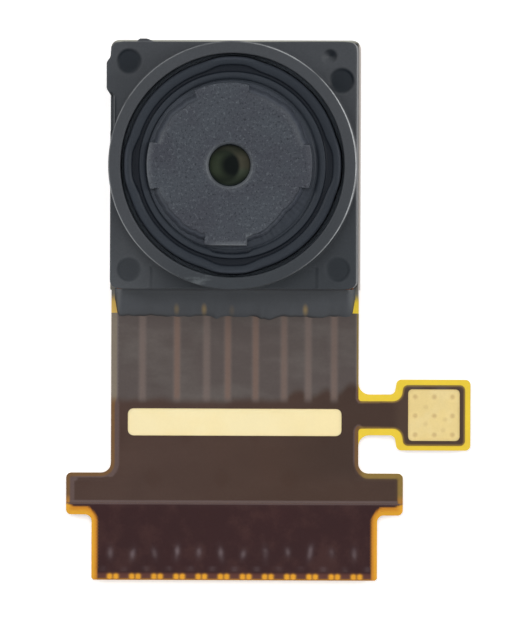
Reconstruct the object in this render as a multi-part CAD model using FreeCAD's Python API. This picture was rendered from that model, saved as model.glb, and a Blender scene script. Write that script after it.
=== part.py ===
import FreeCAD, Part
import math
import os

"""Fixed-focus camera module on a flexible printed circuit.

Millimetres.  +Z is the optical axis, towards the scene that the lens looks at.
+Y points from the connector tail to the lens head.  The origin lies on the
optical axis, on the flat underside of the steel plate that backs the head.
"""

# Laminate thicknesses, from the underside up
plate_thickness = 0.15
plate_bond_thickness = 0.03
cover_thickness = 0.03
copper_thickness = 0.018
base_film_thickness = 0.05
shield_thickness = 0.025
shield_relief = 0.010
relief_inset = 0.02
bond_inset = 0.07
plating_thickness = 0.010
tail_bond_thickness = 0.025
tail_plate_thickness = 0.075

# Moulded lens housing
housing_side = 6.70
housing_corner = 0.22
housing_wall = 0.70
housing_bond_thickness = 0.04
cavity_height = 0.61
shelf_thickness = 0.20
shelf_overlap = 0.30
boss_overhang = 0.02
boss_height = 1.00
boss_edge = 0.04
rim_wall = 0.35
rim_proud = 0.05
focus_gap = 0.20
thread_clearance = 0.02
flex_margin = 0.02

# Marks that moulding leaves on the housing, placed from the optical axis
dimple_radius = 0.33
deep_dimple_depth = 0.22
shallow_dimple_depth = 0.10
top_left_dimple = (-2.82, 2.81)
top_right_dimple = (2.92, 2.30)
low_left_dimple = (-2.80, -2.84)
low_right_dimple = (2.83, -2.82)
cone_dimple = (2.60, 2.94)
cone_dimple_radius = 0.20
cone_dimple_tip = 0.04
cone_dimple_depth = 0.15
lug_length = 1.00
lug_proud = 0.12
lug_centre_y = 2.41
lug_height = 1.60
lug_round = 0.10
scallop_length = 1.00
scallop_width = 0.10
scallop_depth = 0.30
gate_width = 0.36
gate_proud = 0.07
gate_height = 0.40
gate_centre_x = -2.40
gate_below_face = 0.25
relief_width = 4.46
relief_depth = 0.13
relief_reach = 0.62
relief_corner = 0.10
relief_centre_x = 0.03

# Lens barrel, outside
barrel_gap = 0.055
lobe_proud = 0.095
lobe_half_angle = 13.0
flange_thickness = 0.50
flange_ring_width = 0.26
groove_width = 0.08
groove_depth = 0.12
pocket_width = 0.23
collar_width = 0.16
collar_proud = 0.06
flange_proud = 0.10
step_width = 0.05
step_depth = 0.05
floor_width = 0.32
plateau_height = 0.30
plateau_lobe_reach = 0.24
plateau_lobe_half_angle = 16.5
plateau_edge = 0.03
lobe_bite = 0.05
thread_inset = 0.34
aperture_radius = 0.565
lip_width = 0.07

# Lens stack, from the rear of the barrel to its cap
barrel_wall = 0.43
bore_step = 0.25
retainer_recess = 0.04
retainer_thickness = 0.20
retainer_opening = 1.60
rear_element_thickness = 0.40
spacer_thickness = 0.15
spacer_opening = 1.25
third_element_thickness = 0.40
stop_thickness = 0.03
second_stop_opening = 0.95
second_element_thickness = 0.35
first_stop_opening = 0.62
first_element_thickness = 0.35
cap_thickness = 0.30
cap_relief_radius = 0.85
cap_land = 0.10
filter_clearance = 0.27
element_clearance = 0.005
surface_margin = 0.10
front_sag = 0.16
shallow_sag = 0.05

# Infrared filter, in the 4 : 3 format of the picture
filter_thickness = 0.30
filter_bond_thickness = 0.03
filter_side_clearance = 0.20

# Image sensor and the small parts round it
die_thickness = 0.20
die_bond_thickness = 0.02
wire_margin = 0.85
component_margin = 1.15
wire_count = 10
wire_pitch = 0.28
wire_width = 0.03
wire_loop = 0.14
wire_crest = 0.10
die_pad_inset = 0.08
bond_pad_length = 0.28
bond_pad_width = 0.14
bond_pad_gap = 0.28
window_margin = 0.05
capacitor_length = 0.60
capacitor_width = 0.30
capacitor_height = 0.30
terminal_length = 0.15
capacitor_pitch = 1.05
solder_reach = 0.05
capacitor_count = 3

# Flexible circuit, outline
body_width = 6.67
body_length = 4.93
body_to_ear_round = 0.27
ear_width = 0.69
ear_height = 1.13
ear_corner = 0.14
ear_to_tail_round = 0.18
tail_length = 1.76
tail_corner = 0.08
head_corner = 0.24

# Side branch with its square ground pad
branch_above_ears = 1.58
neck_length = 0.97
neck_width = 1.10
neck_round = 0.30
shoulder_length = 0.07
shoulder_round = 0.15
tab_width = 1.98
tab_height = 1.91
tab_corner = 0.14
branch_film_inset = 0.18
pad_front_margin = 0.30
pad_rear_margin = 0.29
pad_side_margin = 0.26
pad_corner = 0.11

# Ground bar and the open slots of the ground plane
bar_above_ears = 1.37
bar_length = 5.76
bar_width = 0.73
bar_corner = 0.15
slot_width = 0.19
slot_start = 0.43
slot_to_bar = 0.16
slot_centres = (-2.49, -1.56, -0.76, -0.19, 0.56, 1.33, 1.98, 2.68)
copper_inset = 0.15
plane_end_inset = 0.23

# Films and glue along the circuit
cover_gap = 0.03
glue_width = 0.69
glue_height = 0.30
glue_wall_height = 0.42
glue_side_inset = 0.14
glue_overlap = 0.05
glue_round = 0.12
glue_bulge = 0.7
ear_cover = 0.81
film_gap = 0.02
contact_zone = 1.29

# Contacts of the tail, in two staggered rows on its underside
contact_count = 25
contact_pitch = 0.30
contact_margin = 0.25
contact_width = 0.36
contact_lead_width = 0.08
contact_proud = 0.004
front_contact_length = 0.34
rear_contact_length = 0.55
row_gap = 0.10
trace_pitch = 0.25
trace_width = 0.08
trace_top = 2.60

# Heights
cover_bottom = plate_thickness + plate_bond_thickness
back_copper_bottom = cover_bottom + cover_thickness
base_bottom = back_copper_bottom + copper_thickness
base_top = base_bottom + base_film_thickness
copper_top = base_top + copper_thickness
cover_top = copper_top + cover_thickness
housing_bottom = copper_top + housing_bond_thickness
cavity_roof = housing_bottom + cavity_height
shelf_top = cavity_roof + shelf_thickness
filter_bottom = shelf_top + filter_bond_thickness
filter_top = filter_bottom + filter_thickness
barrel_bottom = filter_top + filter_clearance
retainer_bottom = barrel_bottom + retainer_recess
rear_element_bottom = retainer_bottom + retainer_thickness
spacer_bottom = rear_element_bottom + rear_element_thickness
third_element_bottom = spacer_bottom + spacer_thickness
second_stop_bottom = third_element_bottom + third_element_thickness
second_element_bottom = second_stop_bottom + stop_thickness
first_stop_bottom = second_element_bottom + second_element_thickness
first_element_bottom = first_stop_bottom + stop_thickness
cap_bottom = first_element_bottom + first_element_thickness
plateau_top = cap_bottom + cap_thickness
floor_top = plateau_top - plateau_height
collar_top = floor_top + collar_proud
flange_top = floor_top + flange_proud
flange_bottom = flange_top - flange_thickness
rim_top = flange_top + rim_proud
face_top = rim_top - boss_height

# Radii and widths of the head, from the outside in
housing_half = housing_side / 2
head_half = housing_half + flex_margin
cavity_side = housing_side - 2 * housing_wall
boss_radius = housing_half + boss_overhang
recess_radius = boss_radius - rim_wall
lobe_radius = recess_radius - barrel_gap
flange_radius = lobe_radius - lobe_proud
groove_outer = flange_radius - flange_ring_width
groove_inner = groove_outer - groove_width
pocket_outer = groove_inner + pocket_width
step_outer = groove_inner - collar_width
floor_outer = step_outer - step_width
plateau_radius = floor_outer - floor_width
plateau_lobe_radius = plateau_radius + plateau_lobe_reach
thread_radius = flange_radius - thread_inset
housing_bore = thread_radius + thread_clearance
rear_bore = thread_radius - barrel_wall
third_bore = rear_bore - bore_step
second_bore = third_bore - bore_step
first_bore = second_bore - bore_step

filter_diagonal = 2 * (housing_bore - filter_side_clearance)
filter_width = 0.8 * filter_diagonal
filter_depth = 0.6 * filter_diagonal
die_width = cavity_side - 2 * wire_margin
die_depth = cavity_side - 2 * component_margin
die_bottom = copper_top + die_bond_thickness
die_top = die_bottom + die_thickness
die_pad_x = die_width / 2 - die_pad_inset
bond_pad_x = die_width / 2 + bond_pad_gap
component_y = (die_depth / 2 + cavity_side / 2) / 2
head_window_side = cavity_side - 2 * window_margin

# Places along the circuit
body_half = body_width / 2
ear_top_y = -head_half - body_length
ear_low_y = ear_top_y - ear_height
tail_end_y = ear_low_y - tail_length
tail_half = (contact_count - 1) * contact_pitch / 2 + contact_margin
ear_half = tail_half + ear_width
branch_y = ear_top_y + branch_above_ears
neck_end_x = body_half + neck_length
tab_left_x = neck_end_x + shoulder_length
tab_right_x = tab_left_x + tab_width
pad_width = tab_width - pad_front_margin - pad_rear_margin
pad_depth = tab_height - 2 * pad_side_margin
pad_x = tab_left_x + pad_front_margin + pad_width / 2
bar_y = ear_top_y + bar_above_ears
cover_start_y = -housing_half - cover_gap
shield_start_y = -housing_half - glue_width + glue_overlap
shield_end_y = ear_top_y - ear_cover
tail_plate_start_y = shield_end_y - film_gap
back_cover_end_y = tail_end_y + contact_zone


def vec(x, y, z=0.0):
    return FreeCAD.Vector(x, y, z)


def outline_face(corners, z):
    """Flat face at height z from corners (x, y, rounding radius), given counter-clockwise."""
    kept = []
    for x, y, radius in corners:
        if not kept or abs(x - kept[-1][0]) + abs(y - kept[-1][1]) > 1e-6:
            kept.append((x, y, radius))
    tangents = []
    for i, (x, y, radius) in enumerate(kept):
        corner = vec(x, y, z)
        if radius <= 0:
            tangents.append((corner, None, corner))
            continue
        before = vec(*kept[i - 1][:2], z) - corner
        after = vec(*kept[(i + 1) % len(kept)][:2], z) - corner
        before.normalize()
        after.normalize()
        half_angle = before.getAngle(after) / 2
        bisector = before + after
        bisector.normalize()
        reach = radius / math.tan(half_angle)
        middle = corner + bisector * (radius / math.sin(half_angle) - radius)
        tangents.append((corner + before * reach, middle, corner + after * reach))
    edges = []
    for i, (start, middle, end) in enumerate(tangents):
        last_end = tangents[i - 1][2]
        if last_end.distanceToPoint(start) > 1e-6:
            edges.append(Part.makeLine(last_end, start))
        if middle is not None:
            edges.append(Part.Arc(start, middle, end).toShape())
    return Part.Face(Part.Wire(edges))


def prism(corners, z, height):
    return outline_face(corners, z).extrude(vec(0, 0, height))


def plate(width, depth, corner, centre, z, height):
    """Rectangular plate with rounded corners, about centre (x, y), standing on z."""
    x, y = centre
    sides = ((-1, -1), (1, -1), (1, 1), (-1, 1))
    corners = [(x + sx * width / 2, y + sy * depth / 2, corner) for sx, sy in sides]
    return prism(corners, z, height)


def disc(radius, z, height, centre=(0.0, 0.0)):
    return Part.makeCylinder(radius, height, vec(*centre, z))


def ring(outer, inner, z, height):
    return disc(outer, z, height).cut(disc(inner, z, height))


def ring_sector(outer, inner, middle_angle, half_angle, z, height):
    """Part of a ring, half_angle degrees to both sides of middle_angle."""
    wedge = Part.makeCylinder(outer, height, vec(0, 0, z), vec(0, 0, 1), 2 * half_angle)
    wedge.rotate(vec(0, 0, 0), vec(0, 0, 1), middle_angle - half_angle)
    return wedge.cut(disc(inner, z, height))


def turned(points):
    """Solid of revolution about the optical axis from a closed profile of (radius, height)."""
    corners = [vec(radius, 0, z) for radius, z in points]
    face = Part.Face(Part.makePolygon(corners + corners[:1]))
    return face.revolve(vec(0, 0, 0), vec(0, 0, 1), 360)


def fused(shapes):
    return shapes[0].multiFuse(shapes[1:]).removeSplitter()


def circuit_outline(inset, branch_inset):
    """Corners of the circuit's outline, drawn in from its edge by the given insets."""
    head = head_half - inset
    body = body_half - inset
    head_low = -head_half + inset
    ear_top = ear_top_y - inset
    ear_low = ear_low_y + inset
    ear = ear_half - inset
    tail = tail_half - inset
    end = tail_end_y + inset
    neck = neck_width / 2 - branch_inset
    tab = tab_height / 2 - branch_inset
    left_side = [
        (-head, head, head_corner),
        (-head, head_low, 0),
        (-body, head_low, 0),
        (-body, ear_top, body_to_ear_round),
        (-ear, ear_top, ear_corner),
        (-ear, ear_low, ear_corner),
        (-tail, ear_low, ear_to_tail_round),
        (-tail, end, tail_corner),
    ]
    branch = [
        (body, branch_y - neck, neck_round),
        (neck_end_x + branch_inset, branch_y - neck, shoulder_round),
        (tab_left_x + branch_inset, branch_y - tab, tab_corner),
        (tab_right_x - branch_inset, branch_y - tab, tab_corner),
        (tab_right_x - branch_inset, branch_y + tab, tab_corner),
        (tab_left_x + branch_inset, branch_y + tab, tab_corner),
        (neck_end_x + branch_inset, branch_y + neck, shoulder_round),
        (body, branch_y + neck, neck_round),
    ]
    right_side = [(-x, y, radius) for x, y, radius in reversed(left_side)]
    return left_side + right_side[:5] + branch + right_side[5:]


def film_layer(branch_inset, z, height):
    """Film cut to the circuit's rounded outline, drawn in on the side branch alone."""
    return prism(circuit_outline(0, branch_inset), z, height)


def copper_layer(inset, branch_inset, z, height):
    """Etched layer that stays inside the outline, with plain corners."""
    corners = [(x, y, 0) for x, y, radius in circuit_outline(inset, branch_inset)]
    return prism(corners, z, height)


def between(shape, low_y, high_y):
    """The stretch of a layer between two places along the circuit."""
    box = shape.BoundBox
    corner = vec(box.XMin, low_y, box.ZMin)
    return shape.common(Part.makeBox(box.XLength, high_y - low_y, box.ZLength, corner))


def bar_area(corner, z, height):
    return plate(bar_length, bar_width, corner, (0, bar_y), z, height)


def pad_area(corner, z, height):
    return plate(pad_width, pad_depth, corner, (pad_x, branch_y), z, height)


def slot_stripes(z, height):
    """Long open slots of the ground plane, from beside the glue to the ground bar."""
    high = -housing_half - slot_start
    low = bar_y + bar_width / 2 + slot_to_bar
    middle = (high + low) / 2
    return [plate(slot_width, high - low, 0, (x, middle), z, height) for x in slot_centres]


def back_plate():
    side = 2 * housing_half - 2 * flex_margin
    return plate(side, side, housing_corner, (0, 0), 0, plate_thickness)


def back_plate_bond():
    side = 2 * housing_half - 2 * flex_margin - 2 * bond_inset
    return plate(side, side, 0, (0, 0), plate_thickness, plate_bond_thickness)


def flex_base_film():
    return film_layer(0, base_bottom, base_film_thickness)


def ground_plane():
    """Copper of the front side: one plane with slots, and open below the sensor."""
    plane = copper_layer(copper_inset, branch_film_inset, base_top, copper_thickness)
    plane = between(plane, tail_end_y + plane_end_inset, head_half)
    side = head_window_side
    window = plate(side, side, 0, (0, 0), base_top, copper_thickness)
    return plane.cut([window] + slot_stripes(base_top, copper_thickness))


def front_cover_film():
    """Amber film that closes in the front copper, open over the two ground pads."""
    film = film_layer(0, base_top, copper_thickness + cover_thickness)
    film = between(film, tail_end_y, cover_start_y)
    return film.cut([
        ground_plane(),
        bar_area(0, copper_top, cover_thickness),
        pad_area(0, copper_top, cover_thickness),
    ])


def shield_film():
    """Dark film on the front, which steps down over each slot and round the copper's edge."""
    low = shield_thickness - shield_relief
    film = film_layer(branch_film_inset, cover_top, low)
    raised = copper_layer(copper_inset, branch_film_inset + relief_inset, cover_top + low, shield_relief)
    raised = raised.cut(slot_stripes(cover_top + low, shield_relief))
    film = between(film.fuse(raised), shield_end_y, shield_start_y)
    return film.cut([
        bar_area(bar_corner, cover_top, shield_thickness),
        pad_area(pad_corner, cover_top, shield_thickness),
    ])


def bar_plating():
    return bar_area(0, copper_top, plating_thickness)


def pad_plating():
    return pad_area(0, copper_top, plating_thickness)


def contact_places():
    """(x, is_rear) of each contact; the rear row lies between the front ones."""
    first = -(contact_count - 1) * contact_pitch / 2
    return [(first + i * contact_pitch, i % 2 == 1) for i in range(contact_count)]


def contact_fingers():
    """Gold contacts: front ones reach the edge, rear ones reach it by a narrow lead."""
    z = back_copper_bottom - contact_proud
    height = copper_thickness + contact_proud
    front_top = tail_end_y + front_contact_length
    rear_low = front_top + row_gap
    rear_top = rear_low + rear_contact_length
    fingers = []
    for x, is_rear in contact_places():
        if is_rear:
            depth = rear_top - rear_low
            pad = plate(contact_width, depth, 0, (x, (rear_low + rear_top) / 2), z, height)
            corner = vec(x - contact_lead_width / 2, tail_end_y, z)
            lead = Part.makeBox(contact_lead_width, rear_low - tail_end_y, height, corner)
            fingers.append(pad.fuse(lead).removeSplitter())
        else:
            corner = vec(x - contact_width / 2, tail_end_y, z)
            fingers.append(Part.makeBox(contact_width, front_contact_length, height, corner))
    return Part.makeCompound(fingers)


def signal_traces():
    """Copper of the rear side: one line for each contact, spread out above the tail."""
    front_top = tail_end_y + front_contact_length
    rear_top = front_top + row_gap + rear_contact_length
    half = trace_width / 2
    traces = []
    for i, (x, is_rear) in enumerate(contact_places()):
        body_x = (i - (contact_count - 1) / 2) * trace_pitch
        start = rear_top if is_rear else front_top
        route = [(x, start), (x, ear_low_y), (body_x, ear_top_y), (body_x, trace_top)]
        left = [(px - half, py, 0) for px, py in route]
        right = [(px + half, py, 0) for px, py in reversed(route)]
        traces.append(prism(left[::-1] + right[::-1], back_copper_bottom, copper_thickness))
    return Part.makeCompound(traces)


def back_cover_film():
    """Amber film that closes in the rear traces and leaves the contacts bare."""
    film = film_layer(0, cover_bottom, cover_thickness + copper_thickness)
    return between(film, back_cover_end_y, head_half).cut(signal_traces())


def tail_plate_bond():
    """Adhesive a little inside the edge of the stiffener that it holds."""
    layer = copper_layer(bond_inset, bond_inset, cover_top, tail_bond_thickness)
    return between(layer, tail_end_y, tail_plate_start_y - bond_inset)


def tail_plate():
    """Stiffener on the front of the tail, below the end of the dark film."""
    layer = film_layer(0, cover_top + tail_bond_thickness, tail_plate_thickness)
    return between(layer, tail_end_y, tail_plate_start_y)


def edge_glue():
    """Black bead between the housing and the circuit, with a sloped back and a round front."""
    wall = -housing_half
    front = wall - glue_width
    top = cover_top + glue_height
    round_start = vec(0, front + glue_round, top)
    profile = [
        Part.makeLine(vec(0, wall, cover_top), vec(0, wall, cover_top + glue_wall_height)),
        Part.makeLine(vec(0, wall, cover_top + glue_wall_height), vec(0, wall - glue_round, top)),
        Part.makeLine(vec(0, wall - glue_round, top), round_start),
        Part.Arc(
            round_start,
            vec(0, front + glue_round * (1 - glue_bulge), cover_top + glue_height * glue_bulge),
            vec(0, front, cover_top),
        ).toShape(),
        Part.makeLine(vec(0, front, cover_top), vec(0, wall, cover_top)),
    ]
    length = body_width - 2 * glue_side_inset
    bead = Part.Face(Part.Wire(profile)).extrude(vec(length, 0, 0))
    bead.translate(vec(-length / 2, 0, 0))
    return bead.cut(shield_film())


def housing_bond():
    """Frame of epoxy between the housing's foot and the circuit."""
    outer = housing_side - 2 * bond_inset
    inner = cavity_side + 2 * window_margin
    z = copper_top
    frame = plate(outer, outer, 0, (0, 0), z, housing_bond_thickness)
    return frame.cut(plate(inner, inner, 0, (0, 0), z, housing_bond_thickness))


def housing_marks():
    """Cavities that ejector pins and the moulding tool leave in the square face."""
    deep = face_top - deep_dimple_depth
    shallow = face_top - shallow_dimple_depth
    height = boss_height
    scallop_y = lug_centre_y - lug_length / 2 - scallop_length / 2
    scallop = plate(
        2 * scallop_width, scallop_length, 0,
        (-housing_half, scallop_y), face_top - scallop_depth, height,
    )
    cone = Part.makeCone(
        cone_dimple_tip, cone_dimple_radius, cone_dimple_depth,
        vec(*cone_dimple, face_top - cone_dimple_depth),
    )
    relief = plate(
        relief_width, 2 * relief_reach, relief_corner, (relief_centre_x, -housing_half),
        face_top - relief_depth, height,
    ).cut(disc(boss_radius, face_top - relief_depth, height))
    return [
        disc(dimple_radius, deep, height, top_left_dimple),
        disc(dimple_radius, deep, height, top_right_dimple),
        disc(dimple_radius, shallow, height, low_left_dimple),
        disc(dimple_radius, shallow, height, low_right_dimple),
        scallop,
        cone,
        relief,
    ]


def housing():
    """Square moulded base with a round boss, a threaded bore and a shelf for the filter."""
    block_height = face_top - housing_bottom
    block = plate(housing_side, housing_side, housing_corner, (0, 0), housing_bottom, block_height)
    lug = plate(
        2 * lug_proud, lug_length, lug_round,
        (-housing_half, lug_centre_y), face_top - lug_height, lug_height,
    )
    gate = plate(
        gate_width, 2 * gate_proud, 0,
        (gate_centre_x, housing_half), face_top - gate_below_face - gate_height, gate_height,
    )
    body = fused([block, lug, gate]).cut(housing_marks())
    boss = turned([
        (0, face_top - boss_height / 2),
        (boss_radius - rim_wall, face_top - boss_height / 2),
        (boss_radius, face_top - relief_depth),
        (boss_radius, rim_top - boss_edge),
        (boss_radius - boss_edge, rim_top),
        (0, rim_top),
    ])
    body = body.fuse(boss)
    cavity = plate(cavity_side, cavity_side, 0, (0, 0), housing_bottom, cavity_height)
    window = plate(
        filter_width - 2 * shelf_overlap, filter_depth - 2 * shelf_overlap, 0,
        (0, 0), cavity_roof, shelf_thickness,
    )
    recess_floor = flange_bottom - focus_gap
    bore = disc(housing_bore, shelf_top, recess_floor - shelf_top)
    recess = disc(recess_radius, recess_floor, rim_top - recess_floor)
    return body.cut([cavity, window, bore, recess]).removeSplitter()


def filter_bond():
    width = filter_width
    depth = filter_depth
    frame = plate(width, depth, 0, (0, 0), shelf_top, filter_bond_thickness)
    opening = plate(
        width - 2 * shelf_overlap, depth - 2 * shelf_overlap, 0,
        (0, 0), shelf_top, filter_bond_thickness,
    )
    return frame.cut(opening)


def infrared_filter():
    return plate(filter_width, filter_depth, 0, (0, 0), filter_bottom, filter_thickness)


def lens_barrel():
    """Threaded barrel: stepped bores open to the rear, a capped front with the aperture."""
    tube = turned([
        (rear_bore, barrel_bottom),
        (thread_radius, barrel_bottom),
        (thread_radius, flange_bottom),
        (flange_radius, flange_bottom),
        (flange_radius, flange_top),
        (groove_outer, flange_top),
        (groove_outer, flange_top - groove_depth),
        (groove_inner, flange_top - groove_depth),
        (groove_inner, collar_top),
        (step_outer, collar_top),
        (step_outer, floor_top - step_depth),
        (floor_outer, floor_top - step_depth),
        (floor_outer, floor_top),
        (plateau_radius, floor_top),
        (plateau_radius, plateau_top - plateau_edge),
        (plateau_radius - plateau_edge, plateau_top),
        (aperture_radius + lip_width, plateau_top),
        (aperture_radius, plateau_top - lip_width),
        (aperture_radius, plateau_top - cap_land),
        (cap_relief_radius, cap_bottom),
        (first_bore, cap_bottom),
        (first_bore, first_stop_bottom),
        (second_bore, first_stop_bottom),
        (second_bore, second_stop_bottom),
        (third_bore, second_stop_bottom),
        (third_bore, spacer_bottom),
        (rear_bore, spacer_bottom),
    ])
    quarters = (0, 90, 180, 270)
    tool_lobes = [
        ring_sector(lobe_radius, groove_outer + lobe_bite, angle, lobe_half_angle,
                    flange_bottom, flange_thickness)
        for angle in quarters
    ]
    plateau_lobes = [
        ring_sector(plateau_lobe_radius, plateau_radius - lobe_bite, angle, plateau_lobe_half_angle,
                    floor_top - step_depth, plateau_height + step_depth - plateau_edge)
        for angle in quarters
    ]
    pockets = [
        ring_sector(pocket_outer, groove_inner, angle, lobe_half_angle,
                    flange_top - groove_depth, groove_depth)
        for angle in quarters
    ]
    return fused([tube] + tool_lobes + plateau_lobes).cut(pockets)


def surface_edge(semi_diameter, z, sag):
    """Half of a spherical surface, from the axis to the edge at height z."""
    radius = (semi_diameter**2 + sag**2) / (2 * sag)
    centre = z + sag - radius
    angle = math.asin(semi_diameter / abs(radius)) / 2
    middle = vec(abs(radius) * math.sin(angle), 0, centre + radius * math.cos(angle))
    return Part.Arc(vec(0, 0, z + sag), middle, vec(semi_diameter, 0, z)).toShape()


def lens_element(bore, z, thickness, front, rear):
    """Lens with a flat flange, from its two half surfaces (edges from the axis outwards)."""
    radius = bore - element_clearance
    rear_axis, rear_rim = rear.Vertexes[0].Point, rear.Vertexes[-1].Point
    front_axis, front_rim = front.Vertexes[0].Point, front.Vertexes[-1].Point
    sides = [
        rear,
        Part.makeLine(rear_rim, vec(radius, 0, z)),
        Part.makeLine(vec(radius, 0, z), vec(radius, 0, z + thickness)),
        Part.makeLine(vec(radius, 0, z + thickness), front_rim),
        front,
        Part.makeLine(front_axis, rear_axis),
    ]
    face = Part.Face(Part.Wire(Part.__sortEdges__(sides)))
    return face.revolve(vec(0, 0, 0), vec(0, 0, 1), 360)


def first_element():
    z, thickness = first_element_bottom, first_element_thickness
    front = surface_edge(cap_relief_radius - surface_margin, z + thickness, front_sag)
    rear = surface_edge(first_stop_opening, z, shallow_sag)
    return lens_element(first_bore, z, thickness, front, rear)


def second_element():
    z, thickness = second_element_bottom, second_element_thickness
    front = surface_edge(first_stop_opening + surface_margin, z + thickness, -shallow_sag)
    rear = surface_edge(second_stop_opening, z, shallow_sag)
    return lens_element(second_bore, z, thickness, front, rear)


def third_element():
    z, thickness = third_element_bottom, third_element_thickness
    front = surface_edge(second_stop_opening + surface_margin, z + thickness, -shallow_sag)
    rear = surface_edge(spacer_opening - surface_margin, z, -shallow_sag)
    return lens_element(third_bore, z, thickness, front, rear)


def rear_element():
    z, thickness = rear_element_bottom, rear_element_thickness
    front = surface_edge(spacer_opening, z + thickness, -shallow_sag)
    rear = surface_edge(retainer_opening - surface_margin, z, shallow_sag)
    return lens_element(rear_bore, z, thickness, front, rear)


def first_stop():
    return ring(first_bore - element_clearance, first_stop_opening, first_stop_bottom, stop_thickness)


def second_stop():
    return ring(second_bore - element_clearance, second_stop_opening, second_stop_bottom, stop_thickness)


def spacer_ring():
    return ring(third_bore - element_clearance, spacer_opening, spacer_bottom, spacer_thickness)


def retaining_ring():
    outer = rear_bore - element_clearance
    return ring(outer, retainer_opening, retainer_bottom, retainer_thickness)


def image_sensor():
    return plate(die_width, die_depth, 0, (0, 0), die_bottom, die_thickness)


def die_bond():
    return plate(die_width, die_depth, 0, (0, 0), copper_top, die_bond_thickness)


def wire_rows():
    """y of each bond wire, and the side of the die that it leaves from."""
    first = -(wire_count - 1) * wire_pitch / 2
    return [(first + i * wire_pitch, side) for side in (-1, 1) for i in range(wire_count)]


def bond_wires():
    """Wires that rise from the die's edge and come down to the pads of the circuit."""
    low = copper_top + plating_thickness
    top = die_top + wire_loop
    corners = [
        vec(die_pad_x, 0, die_top),
        vec(die_pad_x + wire_crest, 0, top),
        vec(bond_pad_x, 0, low),
        vec(bond_pad_x - wire_width, 0, low),
        vec(die_pad_x + wire_crest, 0, top - 1.5 * wire_width),
        vec(die_pad_x + wire_width, 0, die_top),
    ]
    wire = Part.Face(Part.makePolygon(corners + corners[:1])).extrude(vec(0, wire_width, 0))
    wires = []
    for y, side in wire_rows():
        copy = wire.copy()
        if side < 0:
            copy = copy.mirror(vec(0, 0, 0), vec(1, 0, 0))
        copy.translate(vec(0, y - wire_width / 2, 0))
        wires.append(copy)
    return Part.makeCompound(wires)


def capacitor_places():
    first = -(capacitor_count - 1) * capacitor_pitch / 2
    xs = [first + i * capacitor_pitch for i in range(capacitor_count)]
    return [(x, side * component_y) for side in (-1, 1) for x in xs]


def capacitors():
    z = copper_top + plating_thickness
    length = capacitor_length - 2 * terminal_length
    bodies = [
        plate(length, capacitor_width, 0, place, z, capacitor_height)
        for place in capacitor_places()
    ]
    return Part.makeCompound(bodies)


def terminal_places():
    reach = (capacitor_length - terminal_length) / 2
    return [(x + side * reach, y) for x, y in capacitor_places() for side in (-1, 1)]


def capacitor_terminals():
    z = copper_top + plating_thickness
    ends = [
        plate(terminal_length, capacitor_width, 0, place, z, capacitor_height)
        for place in terminal_places()
    ]
    return Part.makeCompound(ends)


def head_pads():
    """Gilded copper islands under the sensor, its wires and the capacitors."""
    height = copper_thickness + plating_thickness
    paddle = plate(die_width, die_depth, 0, (0, 0), base_top, copper_thickness)
    bond_x = bond_pad_x + bond_pad_length / 4
    pads = [
        plate(bond_pad_length, bond_pad_width, 0, (side * bond_x, y), base_top, height)
        for y, side in wire_rows()
    ]
    solder_pads = [
        plate(terminal_length + solder_reach, capacitor_width, 0, place, base_top, height)
        for place in terminal_places()
    ]
    return Part.makeCompound([paddle] + pads + solder_pads)


pieces = [
    back_plate,
    back_plate_bond,
    back_cover_film,
    signal_traces,
    contact_fingers,
    flex_base_film,
    ground_plane,
    front_cover_film,
    shield_film,
    bar_plating,
    pad_plating,
    tail_plate_bond,
    tail_plate,
    edge_glue,
    housing_bond,
    housing,
    filter_bond,
    infrared_filter,
    lens_barrel,
    first_element,
    first_stop,
    second_element,
    second_stop,
    third_element,
    spacer_ring,
    rear_element,
    retaining_ring,
    image_sensor,
    die_bond,
    bond_wires,
    head_pads,
    capacitors,
    capacitor_terminals,
]

os.makedirs("parts", exist_ok=True)
for piece in pieces:
    piece().exportStep("parts/" + piece.__name__ + ".step")
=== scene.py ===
import math

import bpy
import mathutils
import numpy as np
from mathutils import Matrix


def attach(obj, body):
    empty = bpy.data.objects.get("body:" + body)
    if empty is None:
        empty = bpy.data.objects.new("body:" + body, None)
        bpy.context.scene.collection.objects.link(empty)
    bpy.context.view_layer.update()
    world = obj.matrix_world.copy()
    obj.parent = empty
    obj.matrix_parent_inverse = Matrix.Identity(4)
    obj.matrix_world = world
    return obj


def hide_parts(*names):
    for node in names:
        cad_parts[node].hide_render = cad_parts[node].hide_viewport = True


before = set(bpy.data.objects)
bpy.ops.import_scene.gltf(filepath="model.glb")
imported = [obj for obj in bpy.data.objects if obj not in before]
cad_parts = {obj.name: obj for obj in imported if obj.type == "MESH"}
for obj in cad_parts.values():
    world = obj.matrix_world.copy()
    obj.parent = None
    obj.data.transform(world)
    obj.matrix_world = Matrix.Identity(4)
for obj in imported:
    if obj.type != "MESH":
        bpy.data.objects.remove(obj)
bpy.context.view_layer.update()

# The light, the table and the camera. A small object on a pale table between two wide soft
# lamps, seen from straight above by a long lens that leans a little to the right.
mm = 0.001
view_lean, view_tilt, view_roll = math.radians(0.44), math.radians(1.35), math.radians(0.2)
focal_length, sensor_size = 1200, 36
pixels_per_mm, picture_height = 37.1, 640
aim = np.array([0.566, -4.173, 0.35])
camera_distance = picture_height / pixels_per_mm * focal_length / sensor_size
table_level, table_tone, table_glow, sky_glow = -0.01, 0.86, 0.45, 0.30

scene = bpy.context.scene
scene.view_settings.view_transform = "Standard"


def srgb(code):
    """Linear colour of a written #rrggbb value."""
    parts = np.array([int(code[i:i + 2], 16) for i in (1, 3, 5)]) / 255
    linear = np.where(parts <= 0.04045, parts / 12.92, ((parts + 0.055) / 1.055) ** 2.4)
    return (*linear.tolist(), 1)


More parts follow.
